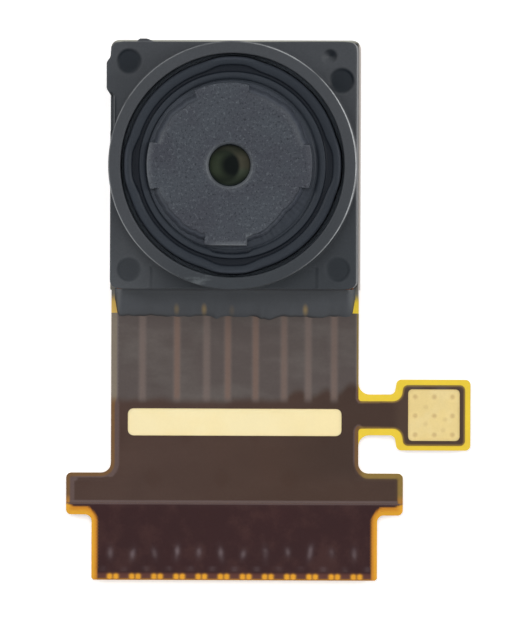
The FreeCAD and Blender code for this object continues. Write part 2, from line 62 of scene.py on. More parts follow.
def add(tree, kind, settings=(), **inputs):
    """One shader node. Inputs are named by their sockets, with _ for a space, or _ and their number. A socket is
    linked, a value is set, and a colour may be written as #rrggbb."""
    node = tree.nodes.new(kind)
    for name, value in dict(settings).items():
        setattr(node, name, value)
    for name, value in inputs.items():
        key = int(name[1:]) if name[0] == "_" else name.replace("_", " ")
        if isinstance(value, bpy.types.NodeSocket):
            tree.links.new(value, node.inputs[key])
        else:
            node.inputs[key].default_value = srgb(value) if isinstance(value, str) else value
    return node


def maths(tree, operation, *values):
    """Result of one Math node."""
    inputs = {f"_{i}": value for i, value in enumerate(values)}
    return add(tree, "ShaderNodeMath", {"operation": operation}, **inputs).outputs[0]


def times(tree, *values):
    """Product of sockets and numbers."""
    product = values[0]
    for value in values[1:]:
        product = maths(tree, "MULTIPLY", product, value)
    return product


def placed(name, data):
    """Object of that name, put into the scene."""
    thing = bpy.data.objects.new(name, data)
    scene.collection.objects.link(thing)
    return thing


def empty_tree(owner):
    """The cleared node tree of a world or a material."""
    owner.use_nodes = True
    owner.node_tree.nodes.clear()
    return owner.node_tree


def seen_directly(tree):
    """1 for rays that come from the camera, a mirror or glass; these see the plain white surroundings."""
    path = add(tree, "ShaderNodeLightPath")
    shiny = maths(tree, "MAXIMUM", path.outputs["Is Glossy Ray"], path.outputs["Is Transmission Ray"])
    return maths(tree, "MAXIMUM", path.outputs["Is Camera Ray"], shiny)


world = bpy.data.worlds.new("studio")
scene.world = world
sky = empty_tree(world)
soft = add(sky, "ShaderNodeBackground", Color=(0.93, 0.96, 1.0, 1), Strength=sky_glow)
white = add(sky, "ShaderNodeBackground", Color=(1, 1, 1, 1), Strength=1.0)
mixed = add(sky, "ShaderNodeMixShader", _0=seen_directly(sky), _1=soft.outputs[0], _2=white.outputs[0])
add(sky, "ShaderNodeOutputWorld", Surface=mixed.outputs[0])

table_mesh = bpy.data.meshes.new("table")
corners = [(x, y, table_level * mm) for x, y in ((-1, -1), (1, -1), (1, 1), (-1, 1))]
table_mesh.from_pydata(corners, [], [(0, 1, 2, 3)])
table_look = bpy.data.materials.new("pale_table")
tree = empty_tree(table_look)
paper = add(tree, "ShaderNodeBsdfDiffuse", Color=(table_tone, table_tone, table_tone, 1))
glow = add(tree, "ShaderNodeEmission", Color=(1, 1, 1, 1), Strength=times(tree, seen_directly(tree), table_glow))
both = add(tree, "ShaderNodeAddShader", _0=paper.outputs[0], _1=glow.outputs[0])
add(tree, "ShaderNodeOutputMaterial", Surface=both.outputs[0])
table_mesh.materials.append(table_look)
table = placed("table", table_mesh)

# (name, place, side of the square, brightness) of each lamp, all turned towards the head
lamps = [
    ("lamp_right", (0.34, 0.06, 0.26), 0.12, 0.50),
    ("lamp_left", (-0.30, 0.16, 0.30), 0.12, 0.30),
    ("lamp_top", (-0.02, 0.07, 0.50), 0.24, 1.20),
]
for name, place, side, watts in lamps:
    light = bpy.data.lights.new(name, "AREA")
    light.size = side
    light.energy = watts
    lamp = placed(name, light)
    lamp.location = place
    lamp.rotation_euler = (-lamp.location).to_track_quat("-Z", "Y").to_euler()
    lamp.visible_camera = False
    lamp.visible_glossy = name != "lamp_top"

lens = bpy.data.cameras.new("camera")
lens.lens = focal_length
lens.sensor_width = sensor_size
lens.clip_start = 0.01
lens.clip_end = 10
camera = placed("camera", lens)
camera.rotation_euler = (-view_lean, view_tilt, view_roll)
camera.location = (aim + camera_distance * np.array(camera.rotation_euler.to_matrix().col[2])) * mm
scene.camera = camera


# The moulded housing. One shot of black glass-filled plastic: a square base with a round boss, ejector
# marks, a lug and a gate scar, bored and threaded inside for the barrel and open below for the sensor.
def rounded(half_width, half_depth, corner, angle):
    """Distance from the middle to a rounded rectangle along angle: the straight side's half size over the
    cosine of its angle, or where the ray meets the corner's circle."""
    c, s = np.abs(np.cos(angle)), np.abs(np.sin(angle))
    reach = np.minimum(half_width / np.maximum(c, 1e-9), half_depth / np.maximum(s, 1e-9))
    mid_x, mid_y = half_width - corner, half_depth - corner
    along = c * mid_x + s * mid_y
    inside = along**2 - mid_x**2 - mid_y**2 + corner**2
    arc = along + np.sqrt(np.maximum(inside, 0))
    in_corner = (reach * c > mid_x) & (reach * s > mid_y)
    return np.where(in_corner, arc, reach)


def smooth(value, low, high):
    """0 below low, 1 above high and 3t^2 - 2t^3 between; low may be above high."""
    t = np.clip((value - low) / (high - low), 0, 1)
    return t * t * (3 - 2 * t)


def near(value, middle, outer, inner):
    """1 within inner of middle and 0 beyond outer, with a smooth change between; or the reverse, if inner is larger."""
    return smooth(np.abs(value - middle), outer, inner)


def bell(value, middle, width, power=2):
    """1 at middle, falling on both sides as e to the power of -(distance / width)^power."""
    return np.exp(-(np.abs(value - middle) / width) ** power)


def lobe(turn, middle, width, power=2):
    """The same bell over an angle in degrees, which comes round again after 360."""
    return bell((turn - middle + 180) % 360, 180, width, power)


def fillet(start, corner, end, radius, count):
    """Points of a rounded corner of a profile: a quadratic curve from radius before the corner to radius after it."""
    start, corner, end = map(np.array, (start, corner, end))
    before = corner + (start - corner) / np.linalg.norm(start - corner) * radius
    after = corner + (end - corner) / np.linalg.norm(end - corner) * radius
    t = np.linspace(0, 1, count)[:, None]
    return ((1 - t) ** 2 * before + 2 * t * (1 - t) * corner + t**2 * after).tolist()


def quarter_turn(radius, height, inward, down, count):
    """Rings of a rounded edge over 90 degrees: the radius less inward times 1 - cos, the height less down times
    1 - sin, so that it climbs from below the height to the height, inward of the radius."""
    bends = np.linspace(0, np.pi / 2, count)
    return [(radius - inward * (1 - np.cos(bend)), height - down * (1 - np.sin(bend))) for bend in bends]


def piece_from(name, points, faces, sharp=40):
    """Mesh object from points in mm, smooth but for edges sharper than sharp degrees."""
    mesh = bpy.data.meshes.new(name)
    mesh.from_pydata((points * mm).tolist(), [], faces)
    mesh.polygons.foreach_set("use_smooth", np.ones(len(mesh.polygons), bool))
    mesh.set_sharp_from_angle(angle=math.radians(sharp))
    mesh.update()
    return placed(name, mesh)


def store_masks(piece, shares):
    """Keeps up to four shares from 0 to 1 at each point of a piece, for its material to read."""
    kept = np.zeros((len(shares[0]), 4), np.float32)
    kept[:, :len(shares)] = np.clip(np.stack(shares, axis=1), 0, 1)
    values = piece.data.attributes.new("masks", "FLOAT_COLOR", "POINT")
    values.data.foreach_set("color", kept.ravel())


def grid_faces(rows, columns, ring_rows, ring_columns):
    """Corners of the quads of a grid of points, closed round the rows or the columns if said."""
    r = np.arange(rows if ring_rows else rows - 1)[:, None]
    c = np.arange(columns if ring_columns else columns - 1)[None, :]
    next_r, next_c = (r + 1) % rows, (c + 1) % columns
    quads = [r * columns + c, r * columns + next_c, next_r * columns + next_c, next_r * columns + c]
    return np.stack([np.broadcast_to(q, (r.size, c.size)).ravel() for q in quads], axis=1).tolist()


def around(rings, angle):
    """Points of rings about the optical axis. Each ring is a distance and a height, alike all round or given at
    each angle."""
    radii, heights = (np.array([np.broadcast_to(value, angle.shape) for value in side]) for side in zip(*rings))
    return np.stack([radii * np.cos(angle), radii * np.sin(angle), heights], axis=-1).reshape(-1, 3)


side_half, side_corner, edge_round = 3.35, 0.20, 0.045
foot, face, rim, rim_radius, recess_radius = 0.336, 2.846, 3.846, 3.352, 3.02
recess_floor, bore_radius, shelf, roof = 3.096, 2.55, 1.146, 0.946
thread_depth, thread_pitch, window_half, room_half = 0.02, 0.075, (1.58, 1.11), (2.65, 2.65)
lug_out, scar_out, scar_x, left_in, right_in, top_in = 0.105, 0.081, -2.40, 0.024, 0.018, 0.016
gate_x, gate_y, gate_radius, gate_depth, field_depth, notch_depth = 2.60, 2.94, 0.22, 0.12, 0.035, 0.28
shrinkage = 0.006
angle = np.linspace(0, 2 * np.pi, 768, endpoint=False)

# (x, y, radius, depth, darkness of the painted shade in it) of the four ejector marks
ejector_marks = [
    (-2.82, 2.80, 0.355, 0.05, 1.0), (2.92, 2.29, 0.36, 0.05, 1.0),
    (-2.81, -2.83, 0.345, 0.03, 0.55), (2.83, -2.81, 0.35, 0.03, 0.6),
]


def housing_face(x, y):
    """Height of the square face: flat, less a smooth-walled round dent for each ejector mark, a cone for the
    small gate, a low field between the lower corners and a notch below the lug."""
    height = np.full_like(x, face)
    for mark_x, mark_y, radius, depth, _ in ejector_marks:
        height -= depth * smooth(np.hypot(x - mark_x, y - mark_y), radius + 0.01, radius - 0.10)
    height -= gate_depth * np.clip(1 - np.hypot(x - gate_x, y - gate_y) / gate_radius, 0, 1)
    low_field = near(x, 0.03, 2.29, 2.19) * smooth(y, -2.69, -2.79)
    notch = near(y, 1.40, 0.56, 0.42) * smooth(x, -3.20, -3.27)
    return height - field_depth * low_field - notch_depth * notch


def housing_masks(x, y, z):
    """Shares for the material: painted shade in the ejector marks, the gate mark and the notch below the lug; a painted
    highlight along the boss's edge; and the deep recess round the barrel.
    """
    near_face = smooth(z, face - 0.35, face - 0.15) * smooth(z, face + 0.08, face + 0.02)
    # Painted shade: darkens the ejector marks, the gate mark on its upper right side and the notch below the lug.
    hollow = 0.8 * smooth(x - gate_x + y - gate_y, -0.12, 0.10) * smooth(
        np.hypot(x - gate_x, y - gate_y), gate_radius, gate_radius - 0.06)
    for mark_x, mark_y, radius, _, dark in ejector_marks:
        hollow += dark * smooth(np.hypot(x - mark_x, y - mark_y), radius + 0.02, radius - 0.07)
    notch = near(y, 1.35, 0.62, 0.35) * smooth(x, -3.12, -3.22)
    turn, away = np.degrees(np.arctan2(y, x)), np.hypot(x, y)
    # Painted highlight along the boss's outer edge, strongest on the right and fainter at the upper and lower left.
    edge = bell(away, 3.336, 0.012) * smooth(z, 3.77, 3.82)
    deep = smooth(away, 3.03, 3.01) * smooth(away, 2.50, 2.55) * smooth(z, 3.84, 3.76)
    right = lobe(turn, 18, 62, 4) * (1 - 0.65 * lobe(turn, 48, 10))
    top_left_highlight = 0.25 * lobe(turn, 140, 42, 4) + 0.4 * lobe(turn, 208, 28, 4)
    return np.clip((hollow + notch) * near_face, 0, 1), edge * (right + top_left_highlight), deep


def housing_side(z):
    """Distance of the side walls from the axis at height z: the rounded square, drawn in a little on three sides,
    plus the lug on the left and the scar of the gate at the top."""
    reach = rounded(side_half, side_half, side_corner, angle)
    x, y = reach * np.cos(angle), reach * np.sin(angle)
    sideways = -left_in * smooth(x, -2.95, -3.25) - right_in * smooth(x, 2.95, 3.25)
    sideways += lug_out * smooth(y, 2.98, 2.66) * smooth(y, 1.88, 2.03) * (x < -3) * smooth(z, 1.22, 1.27)
    upwards = -top_in * smooth(y, 2.95, 3.25) * (0.3 + 0.7 * smooth(x, 2.2, 0.6))
    scar = near(x, scar_x, 0.25, 0.08) * (y > 3) * smooth(z, 2.17, 2.22) * smooth(z, 2.62, 2.57)
    upwards += scar_out * scar
    return reach + sideways / np.maximum(np.abs(np.cos(angle)), 0.3) + upwards / np.maximum(np.abs(np.sin(angle)), 0.3)


outline = housing_side(2.7)
edge_height = housing_face(outline * np.cos(angle), outline * np.sin(angle))
wall_heights = (foot, 0.8, 1.21, 1.24, 1.28, 1.7, 2.16, 2.19, 2.23, 2.40, 2.55, 2.57, 2.60, 2.63, 2.68)
rings = [(housing_side(z), np.minimum(z, edge_height - 0.06)) for z in wall_heights]
rings += quarter_turn(outline, edge_height, edge_round, edge_round, 6)
for share in np.linspace(0, 1, 46)[1:]:
    reach = (outline - edge_round) * (1 - share) + np.minimum(rim_radius + 0.03, outline - 0.02) * share
    rings.append((reach, housing_face(reach * np.cos(angle), reach * np.sin(angle))))
rings.append((rim_radius, np.maximum(rings[-1][1] + 0.03, 2.80)))
rings += [(rim_radius, z) for z in (3.1, 3.5, 3.72)]
rings += fillet((rim_radius, 3), (rim_radius, rim), (3, rim), 0.036, 7)
rings += [(r, rim) for r in (3.308, 3.24, 3.15, 3.075)]
rings += fillet((3.3, rim), (recess_radius, rim), (recess_radius, 3), 0.05, 6)
rings += [(recess_radius, z) for z in (3.6, 3.4, 3.2)]
rings += fillet((recess_radius, 3.5), (recess_radius, recess_floor), (2.5, recess_floor), 0.04, 4)
rings += [(2.8, recess_floor), (2.6, recess_floor), (bore_radius, recess_floor - 0.05)]
rings += [(bore_radius - thread_depth * (i % 2), recess_floor - 0.08 - thread_pitch * i) for i in range(24)]
rings.append((bore_radius, shelf))
for half_size, z in ((window_half, shelf), (window_half, roof), (room_half, roof), (room_half, foot)):
    rings.append((rounded(*half_size, 0.05, angle), z))
points = around(rings, angle)
shares = housing_masks(*points.T)
points[:, :2] *= 1 - shrinkage * smooth(np.hypot(*points.T[:2]), 2.60, 2.95)[:, None]
housing = piece_from("housing_shell", points, grid_faces(len(rings), len(angle), True, True), 50)
store_masks(housing, shares)
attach(housing, "root")
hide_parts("housing")


def in_mm(tree, stretch=(1, 1, 1)):
    """The place on the piece in millimetres, stretched along each axis."""
    where = add(tree, "ShaderNodeTexCoord").outputs["Object"]
    return add(tree, "ShaderNodeMapping", Vector=where, Scale=[s / mm for s in stretch]).outputs[0]


def axes(tree):
    """The place on the piece in millimetres, as x, y and z."""
    return add(tree, "ShaderNodeSeparateXYZ", Vector=in_mm(tree)).outputs


def step(tree, value, low, high):
    """0 below low, 1 above high, with a smooth rise between; low may be above high."""
    settings = {"interpolation_type": "SMOOTHSTEP"}
    inputs = {"Value": value, "From_Min": low, "From_Max": high}
    return add(tree, "ShaderNodeMapRange", settings, **inputs).outputs[0]


def patches(tree, waves, detail, rough, low, high, stretch=(1, 1, 1)):
    """Share of soft patches: noise with that many waves per mm, cut off smoothly between low and high."""
    clouds = add(tree, "ShaderNodeTexNoise", Vector=in_mm(tree, stretch), Scale=waves, Detail=detail, Roughness=rough)
    return step(tree, clouds.outputs["Fac"], low, high)


def blend(tree, share, first, second):
    """Colour that goes from first to second as share goes from 0 to 1."""
    return add(tree, "ShaderNodeMix", {"data_type": "RGBA"}, _0=share, _6=first, _7=second).outputs[2]


def layered(tree, colour, *layers):
    """The colour with others laid over it in turn, each given as (share, colour); a share in parts is their
    product."""
    for share, over in layers:
        parts = share if isinstance(share, tuple) else (share,)
        colour = blend(tree, times(tree, *parts), colour, over)
    return colour


# Grain of a moulded, etched or rolled surface: cloudy tone, fine speckle and a bump from the same speckle
grain = bpy.data.node_groups.new("surface_grain", "ShaderNodeTree")
grain_numbers = ("Clouds per mm", "Cloud amount", "Specks per mm", "Speck amount", "Relief in mm", "Roughness")
for socket, kind, way in (
    ("Colour", "Color", "INPUT"), *[(name, "Float", "INPUT") for name in grain_numbers],
    ("Colour", "Color", "OUTPUT"), ("Roughness", "Float", "OUTPUT"), ("Normal", "Vector", "OUTPUT"),
):
    grain.interface.new_socket(socket, in_out=way, socket_type=f"NodeSocket{kind}")
given = grain.nodes.new("NodeGroupInput").outputs
where = in_mm(grain)
gains = []
for kind, settings in (("Cloud", {"Detail": 3.0}), ("Speck", {"Detail": 2.0, "Roughness": 0.6})):
    source = add(grain, "ShaderNodeTexNoise", Vector=where, Scale=given[f"{kind}s per mm"], **settings).outputs["Fac"]
    amount = times(grain, given[f"{kind} amount"], 2.4)
    gains.append(times(grain, maths(grain, "SUBTRACT", source, 0.5), amount))
gain = maths(grain, "ADD", maths(grain, "ADD", *gains), 1.0)
toned = add(grain, "ShaderNodeVectorMath", {"operation": "MULTIPLY"}, _0=given["Colour"], _1=gain).outputs[0]
dull = maths(grain, "ADD", given["Roughness"], times(grain, gains[0], 0.3))
relief = times(grain, given["Relief in mm"], mm)
bump = add(grain, "ShaderNodeBump", Strength=1.0, Distance=relief, Height=source)
add(grain, "NodeGroupOutput", Colour=toned, Roughness=dull, Normal=bump.outputs[0])


def finish(name, colour, clouds, specks, roughness, change=None, **constants):
    """Material whose colour, roughness and normal come through surface_grain. clouds are (per mm, amount), specks
    (per mm, amount, relief in mm). change may turn the plain colour into another socket first; constants go on the
    shader's own sockets."""
    look = bpy.data.materials.new(name)
    tree = empty_tree(look)
    texture = add(tree, "ShaderNodeGroup", {"node_tree": grain}, Colour=change(tree, colour) if change else colour,
                  Clouds_per_mm=clouds[0], Cloud_amount=clouds[1], Specks_per_mm=specks[0], Speck_amount=specks[1],
                  Relief_in_mm=specks[2], Roughness=roughness)
    shader = add(tree, "ShaderNodeBsdfPrincipled", Base_Color=texture.outputs["Colour"],
                 Roughness=texture.outputs["Roughness"], Normal=texture.outputs["Normal"], **constants)
    add(tree, "ShaderNodeOutputMaterial", Surface=shader.outputs[0])
    return look


def masks_of(tree):
    """The four shares stored on a piece."""
    stored = add(tree, "ShaderNodeAttribute", {"attribute_name": "masks"})
    three = add(tree, "ShaderNodeSeparateColor", Color=stored.outputs["Color"]).outputs
    return three[0], three[1], three[2], stored.outputs["Alpha"]


def boss_scuffs_and_painted_light(tree, colour):
    """Black plastic, darker towards the circuit and in the hollows with painted shade, lighter on the lower left of the
    face, with a painted highlight along the boss's edge and a pale rubbed smear low on its left."""
    hollow, edge, deep, _ = masks_of(tree)
    x, y, z = axes(tree)
    # Painted shade: darker towards the bottom, where the circuit is; the lower left of the face is made lighter again.
    lower = (step(tree, y, 1.0, -3.3), step(tree, x, -3.1, -1.0), 0.58)
    lower_left = (step(tree, y, -1.0, -2.6), step(tree, x, -1.6, -2.6), step(tree, z, 3.6, 3.2), 0.6)
    along = times(tree, step(tree, x, -1.85, -1.4), step(tree, x, -0.4, -0.9))
    low_on_boss = times(tree, step(tree, y, -2.75, -2.95), step(tree, z, 3.4, 3.6))
    smear = patches(tree, 2.6, 4, 0.6, 0.46, 0.66, (1, 1.8, 0.2))
    broken = maths(tree, "MULTIPLY_ADD", patches(tree, 1.6, 3, 0.6, 0.30, 0.52), 0.6, 0.4)
    return layered(
        tree, colour, (lower, (0.022, 0.027, 0.032, 1)), (lower_left, (0.066, 0.071, 0.077, 1)),
        ((along, low_on_boss, smear, 0.40), "#6f7476"), ((hollow, 0.96), (0.004, 0.007, 0.011, 1)),
        (deep, (0.056, 0.067, 0.081, 1)), ((edge, broken), "#c9cbcc"),
    )


housing.data.materials.append(finish(
    "black_moulded_plastic", (0.048, 0.052, 0.058, 1), (0.5, 0.12), (22, 0.16, 0.0022), 0.5, boss_scuffs_and_painted_light,
    Specular_IOR_Level=0.25,
))


# The lens barrel. Turned-looking moulded plastic: a ring flange with four tool lobes over pockets, a collar,
# a fine step, a smooth floor and a lobed plateau with spark-eroded grain, screwed into the housing.
angle = np.linspace(0, 2 * np.pi, 760, endpoint=False)
turn = np.degrees(angle)


def sector(middle, half, soft=1.3):
    """1 within half degrees of middle, 0 beyond, with a smooth change over soft degrees."""
    return near((turn - middle + 180) % 360, 180, half + soft / 2, half - soft / 2)


tool_lobe = sum(sector(middle, 12, 13) for middle in (0, 90, 180, 270))
plateau_lobe = sector(-0.8, 15.9) + sector(96, 20) + sector(180.5, 16.9) + sector(267.2, 15.6)
flange = 2.895 + 0.050 * tool_lobe
pocket = 2.61 + 0.095 * tool_lobe
between_lobes = 1.995 - 0.09 * lobe(turn, 315, 17) + 0.09 * lobe(turn, 42, 22)
for size, waves, start in ((0.014, 5, 1), (0.011, 11, 0), (0.009, 23, 2), (0.006, 47, 0)):
    between_lobes = between_lobes + size * np.sin(waves * angle + start)
plateau = between_lobes * (1 - plateau_lobe) + 2.235 * plateau_lobe
plateau = np.where(turn > 180, np.minimum(plateau, 2.165 / np.maximum(-np.sin(angle), 0.5)), plateau)
slope = 0.15 * (1 - plateau_lobe) * np.where(turn > 280, 0.7, 1.0)
sleeve_radius, sleeve_low, ridge_depth, ridge_pitch = 2.53, 1.746, 0.018, 0.07
floor_radius, flange_round, plateau_round = 2.275, 0.08, 0.03
collar_notch = 0.065 * sector(269, 13, 5)
collar_inner = 2.325 + collar_notch
flange_foot, flange_top, groove_floor, collar_top = 3.296, 3.796, 3.676, 3.756
step_floor, floor, top = 3.676, 3.696, 3.996
lip, lip_depth, aperture, lip_round = 0.635, 0.07, 0.565, 0.012
lens_bores = [(1.35, 3.696, 3.316), (1.60, 3.316, 2.936), (1.85, 2.936, 2.386)]
barrel_offset = 0.072

rings = [(2.10, sleeve_low), (sleeve_radius - 0.03, sleeve_low), (sleeve_radius, sleeve_low + 0.03)]
rings += [(sleeve_radius - ridge_depth * (i % 2), 1.80 + ridge_pitch * i) for i in range(21)]
rings += [(sleeve_radius, flange_foot - 0.02), (sleeve_radius, flange_foot), (flange - 0.01, flange_foot)]
rings += [(flange, z) for z in (flange_foot + 0.01, 3.5, 3.66)]
rings += quarter_turn(flange, flange_top, flange_round, 0.13, 9)
rings += quarter_turn(pocket, flange_top, pocket + flange_round - flange, 0.085, 8)[-2::-1]
rings += [(pocket - 0.001, groove_floor + 0.03), (pocket - 0.006, groove_floor + 0.008)]
rings += [(pocket - 0.02, groove_floor), (2.555, groove_floor), (2.535, groove_floor + 0.01)]
rings += quarter_turn(sleeve_radius, collar_top, 0.045, 0.065, 6)
rings += quarter_turn(collar_inner, collar_top, collar_notch - 0.13, 0.06, 6)[-2::-1]
rings += [(collar_inner, step_floor + 0.01), (collar_inner - 0.01, step_floor), (2.295, step_floor)]
rings += [(floor_radius + 0.01, floor - 0.008), (floor_radius, floor)]
for share in (0.35, 0.7, 0.9):
    rings.append((floor_radius + (plateau + slope + 0.02 - floor_radius) * share, floor))
rings += [(plateau + slope + 0.012, floor + 0.004), (plateau + slope, floor + 0.02)]
for share in (0.15, 0.3, 0.5, 0.7, 0.88):
    rings.append((plateau + slope * (1 - share) ** 0.5, floor + 0.02 + share**0.8 * (top - 0.05 - floor)))
rings += quarter_turn(plateau, top, plateau_round, plateau_round, 5)
for share in np.linspace(0.08, 1, 14):
    rings.append(((plateau - plateau_round) * (1 - share) + (lip + lip_round) * share, top))
rings += fillet((0.8, top), (lip, top), (aperture, top - lip_depth), lip_round, 4)
rings += fillet((lip, top), (aperture, top - lip_depth), (aperture, 3.8), lip_round, 4)
rings += [(aperture, 3.896), (0.85, 3.696)]
rings += [(radius, z) for radius, high, low in lens_bores for z in (high, low)] + [(2.10, 2.386)]


def run_out(points):
    """Draws the front of the barrel in by the plastic's shrinkage and moves what lies inside the collar a little to
    the left, as in the photo; both grow from nothing at the foot of the flange."""
    raised = smooth(points[:, 2], 3.30, 3.60)
    away = np.hypot(points[:, 0], points[:, 1])
    points[:, :2] *= 1 - shrinkage * raised[:, None]
    points[:, 0] -= barrel_offset * raised * smooth(away, 2.36, 2.24)
    return points


def barrel_masks(x, y, z):
    """Shares for the material: grained plateau; painted shade in the grooves, the low collar with its notch and on the
    right of the flange; painted highlights on the lip and the plateau's edge; and the smooth floor, lifted with painted
    light on the plateau's slope and the flange's outer wall.
    """
    away, turned = np.hypot(x, y), np.degrees(np.arctan2(y, x))
    outer = np.tile(plateau, len(rings))
    raised = smooth(z, floor + 0.02, top - 0.02) * smooth(away, outer + 0.02, outer - 0.03)
    raised = raised * smooth(away, aperture, lip)
    # Painted shade: the groove inside the flange, the low collar with its notch at the bottom, and the right side of
    # the flange.
    low_flange = smooth(z, flange_top - 0.02, flange_top - 0.10) * smooth(away, 2.56, 2.60)
    low_collar = smooth(z, collar_top - 0.015, step_floor + 0.03)
    low_collar = low_collar * smooth(away, 2.315, 2.345) * smooth(away, 2.60, 2.56)
    at_bottom = near(turned, -91, 14, 11)
    low_collar = low_collar * (0.05 + 0.95 * smooth(away, 2.50, 2.53) + 0.8 * at_bottom)
    groove = bell(away, 2.560, 0.055, 4) * smooth(z, 3.60, 3.64)
    right_flange_shade = 0.25 * lobe(turned, 20, 60) * smooth(away, 2.60, 2.66)
    dark = np.maximum.reduce([low_flange, low_collar, groove, right_flange_shade])
    # Painted highlights: on the lip of the opening, brightest to the lower right and the left, and along the plateau's
    # edge, brightest at the bottom, the left and the upper right.
    lip_highlight = bell(away, 0.603, 0.032) * (z > 3.85) * (0.28 + 0.55 * lobe(turned, -40, 62) + 0.6 * lobe(turned, 178, 48))
    at_edge = bell(away, outer - 0.012, 0.020) * (z > 3.95) * (away > 1.5)
    plateau_edge_highlight = 0.7 * lobe(turned, -88, 15, 4) + 0.5 * lobe(turned, 175, 25) + 0.22 * lobe(turned, 30, 35)
    sloped = smooth(z, floor + 0.01, floor + 0.05) * (1 - smooth(z, 3.93, top)) * (away > outer - 0.01) * (away < 2.3)
    lower_side = lobe(turned, -50, 50)
    around_plateau = smooth(away, 2.31, 2.21) * (1 - raised) * smooth(away, outer - 0.02, outer)
    wound = np.radians(turned)
    streaks = 0.5 + 0.28 * np.sin(61 * wound + 9 * away) * np.sin(23 * wound) + 0.2 * np.sin(97 * wound)
    # The smooth floor's tone, with painted light lifting the plateau's slope and the flange's outer wall.
    on_floor = around_plateau * (0.24 + sloped * (0.25 + 0.45 * lower_side))
    on_floor = on_floor * (1 - lower_side * streaks * (1 - 0.6 * sloped)) + 0.22 * smooth(away, 2.84, 2.89)
    return raised, dark, lip_highlight + at_edge * plateau_edge_highlight, on_floor


points = around(rings, angle)
shares = barrel_masks(*points.T)
barrel = piece_from("barrel_shell", points, grid_faces(len(rings), len(angle), True, True), 45)
barrel.data.vertices.foreach_set("co", (run_out(points) * mm).ravel())
store_masks(barrel, shares)
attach(barrel, "root")
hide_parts("lens_barrel")


def eroded_plateau(tree, colour):
    """Lighter speckled grain on the plateau, a bluish smooth floor lifted with painted light on its slopes, painted
    shade in the grooves and painted highlights on the lip and the plateau's edge.
    """
    raised, dark, bright, smooth_floor = masks_of(tree)
    dots = patches(tree, 11, 3, 0.8, 0.53, 0.68)
    pits = patches(tree, 15, 3, 0.85, 0.47, 0.33, (1.1, 0.9, 1))
    slow = patches(tree, 0.8, 3, 0.6, 0.35, 0.65)
    speckled = layered(tree, "#3f4148", (slow, "#42464c"), ((dots, 0.5), "#696e73"), ((pits, 0.85), "#1b1d22"))
    # The dark share is painted shade, the bright share painted highlights, and the floor share carries painted light on
    # the slopes.
    return layered(
        tree, colour, (smooth_floor, blend(tree, slow, "#565a64", "#5c6067")), (raised, speckled),
        ((dark, 0.94), (0.004, 0.006, 0.010, 1)), ((bright, 0.85), "#8b8f92"),
    )


barrel.data.materials.append(finish(
    "black_barrel_plastic", (0.024, 0.029, 0.037, 1), (0.8, 0.10), (20, 0.20, 0.003), 0.42, eroded_plateau,
    Specular_IOR_Level=0.15,
))


# The front lens. Clear moulded plastic with an olive anti-glare coating, dark because the barrel behind it is
# black; it is held under the cap of the barrel and shows only through the small opening.
angle = np.linspace(0, 2 * np.pi, 160, endpoint=False)
lens_radius, lens_low, lens_high = 1.345, 3.346, 3.696


def lens_surface(radius, edge_height, sag):
    """Rings of a spherical surface from the axis to radius: the edge height plus sag at the axis, falling as
    the circle through both does."""
    sphere = (radius**2 + sag**2) / (2 * abs(sag))
    reach = np.linspace(0.002, radius, 14)
    drop = sphere - np.sqrt(sphere**2 - reach**2)
    return list(zip(reach, edge_height + sag - drop))


rings = lens_surface(0.75, lens_high, 0.155) + [(lens_radius - 0.01, lens_high), (lens_radius, lens_high - 0.01)]
rings += [(lens_radius, lens_low + 0.01), (lens_radius - 0.01, lens_low)] + lens_surface(0.62, lens_low, 0.05)[::-1]
caps = [list(range(len(angle)))[::-1], list(range((len(rings) - 1) * len(angle), len(rings) * len(angle)))]
faces = [face[::-1] for face in grid_faces(len(rings), len(angle), False, True) + caps]
front_lens = piece_from("front_lens", run_out(around(rings, angle)), faces)
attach(front_lens, "root")
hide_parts("first_element")


def distance(tree, where, place):
    """Distance from a place (x, y, z)."""
    return add(tree, "ShaderNodeVectorMath", {"operation": "DISTANCE"}, _0=where, _1=place).outputs["Value"]


def lens_with_painted_reflections(tree, colour):
    """Nearly black in the middle, with painted reflections as an olive crescent on the left and a paler one on the
    right, and a dark edge.
    """
    where = in_mm(tree)
    y = axes(tree)[1]
    tall = maths(tree, "MULTIPLY_ADD", step(tree, maths(tree, "ABSOLUTE", y), 0.44, 0.16), 0.7, 0.3)
    # Painted reflections: the two crescents.
    left = step(tree, distance(tree, where, (0.03, 0, 3.85)), 0.20, 0.46)
    right = step(tree, distance(tree, where, (-0.24, -0.02, 3.85)), 0.37, 0.50)
    edge = step(tree, distance(tree, where, (-0.072, 0, 3.85)), 0.50, 0.57)
    pale = blend(tree, step(tree, y, 0.0, -0.20), "#3f3d33", "#373e33")
    return layered(tree, "#0c1011", ((left, tall), colour), ((right, tall), pale), ((edge, 0.6), "#1f242a"))


front_lens.data.materials.append(finish(
    "lens_with_painted_reflections", "#2d3428", (2.4, 0.25), (30, 0.02, 0.0), 0.08, lens_with_painted_reflections, Specular_IOR_Level=0.06,
    Specular_Tint=(0.9, 1.0, 0.85, 1),
))


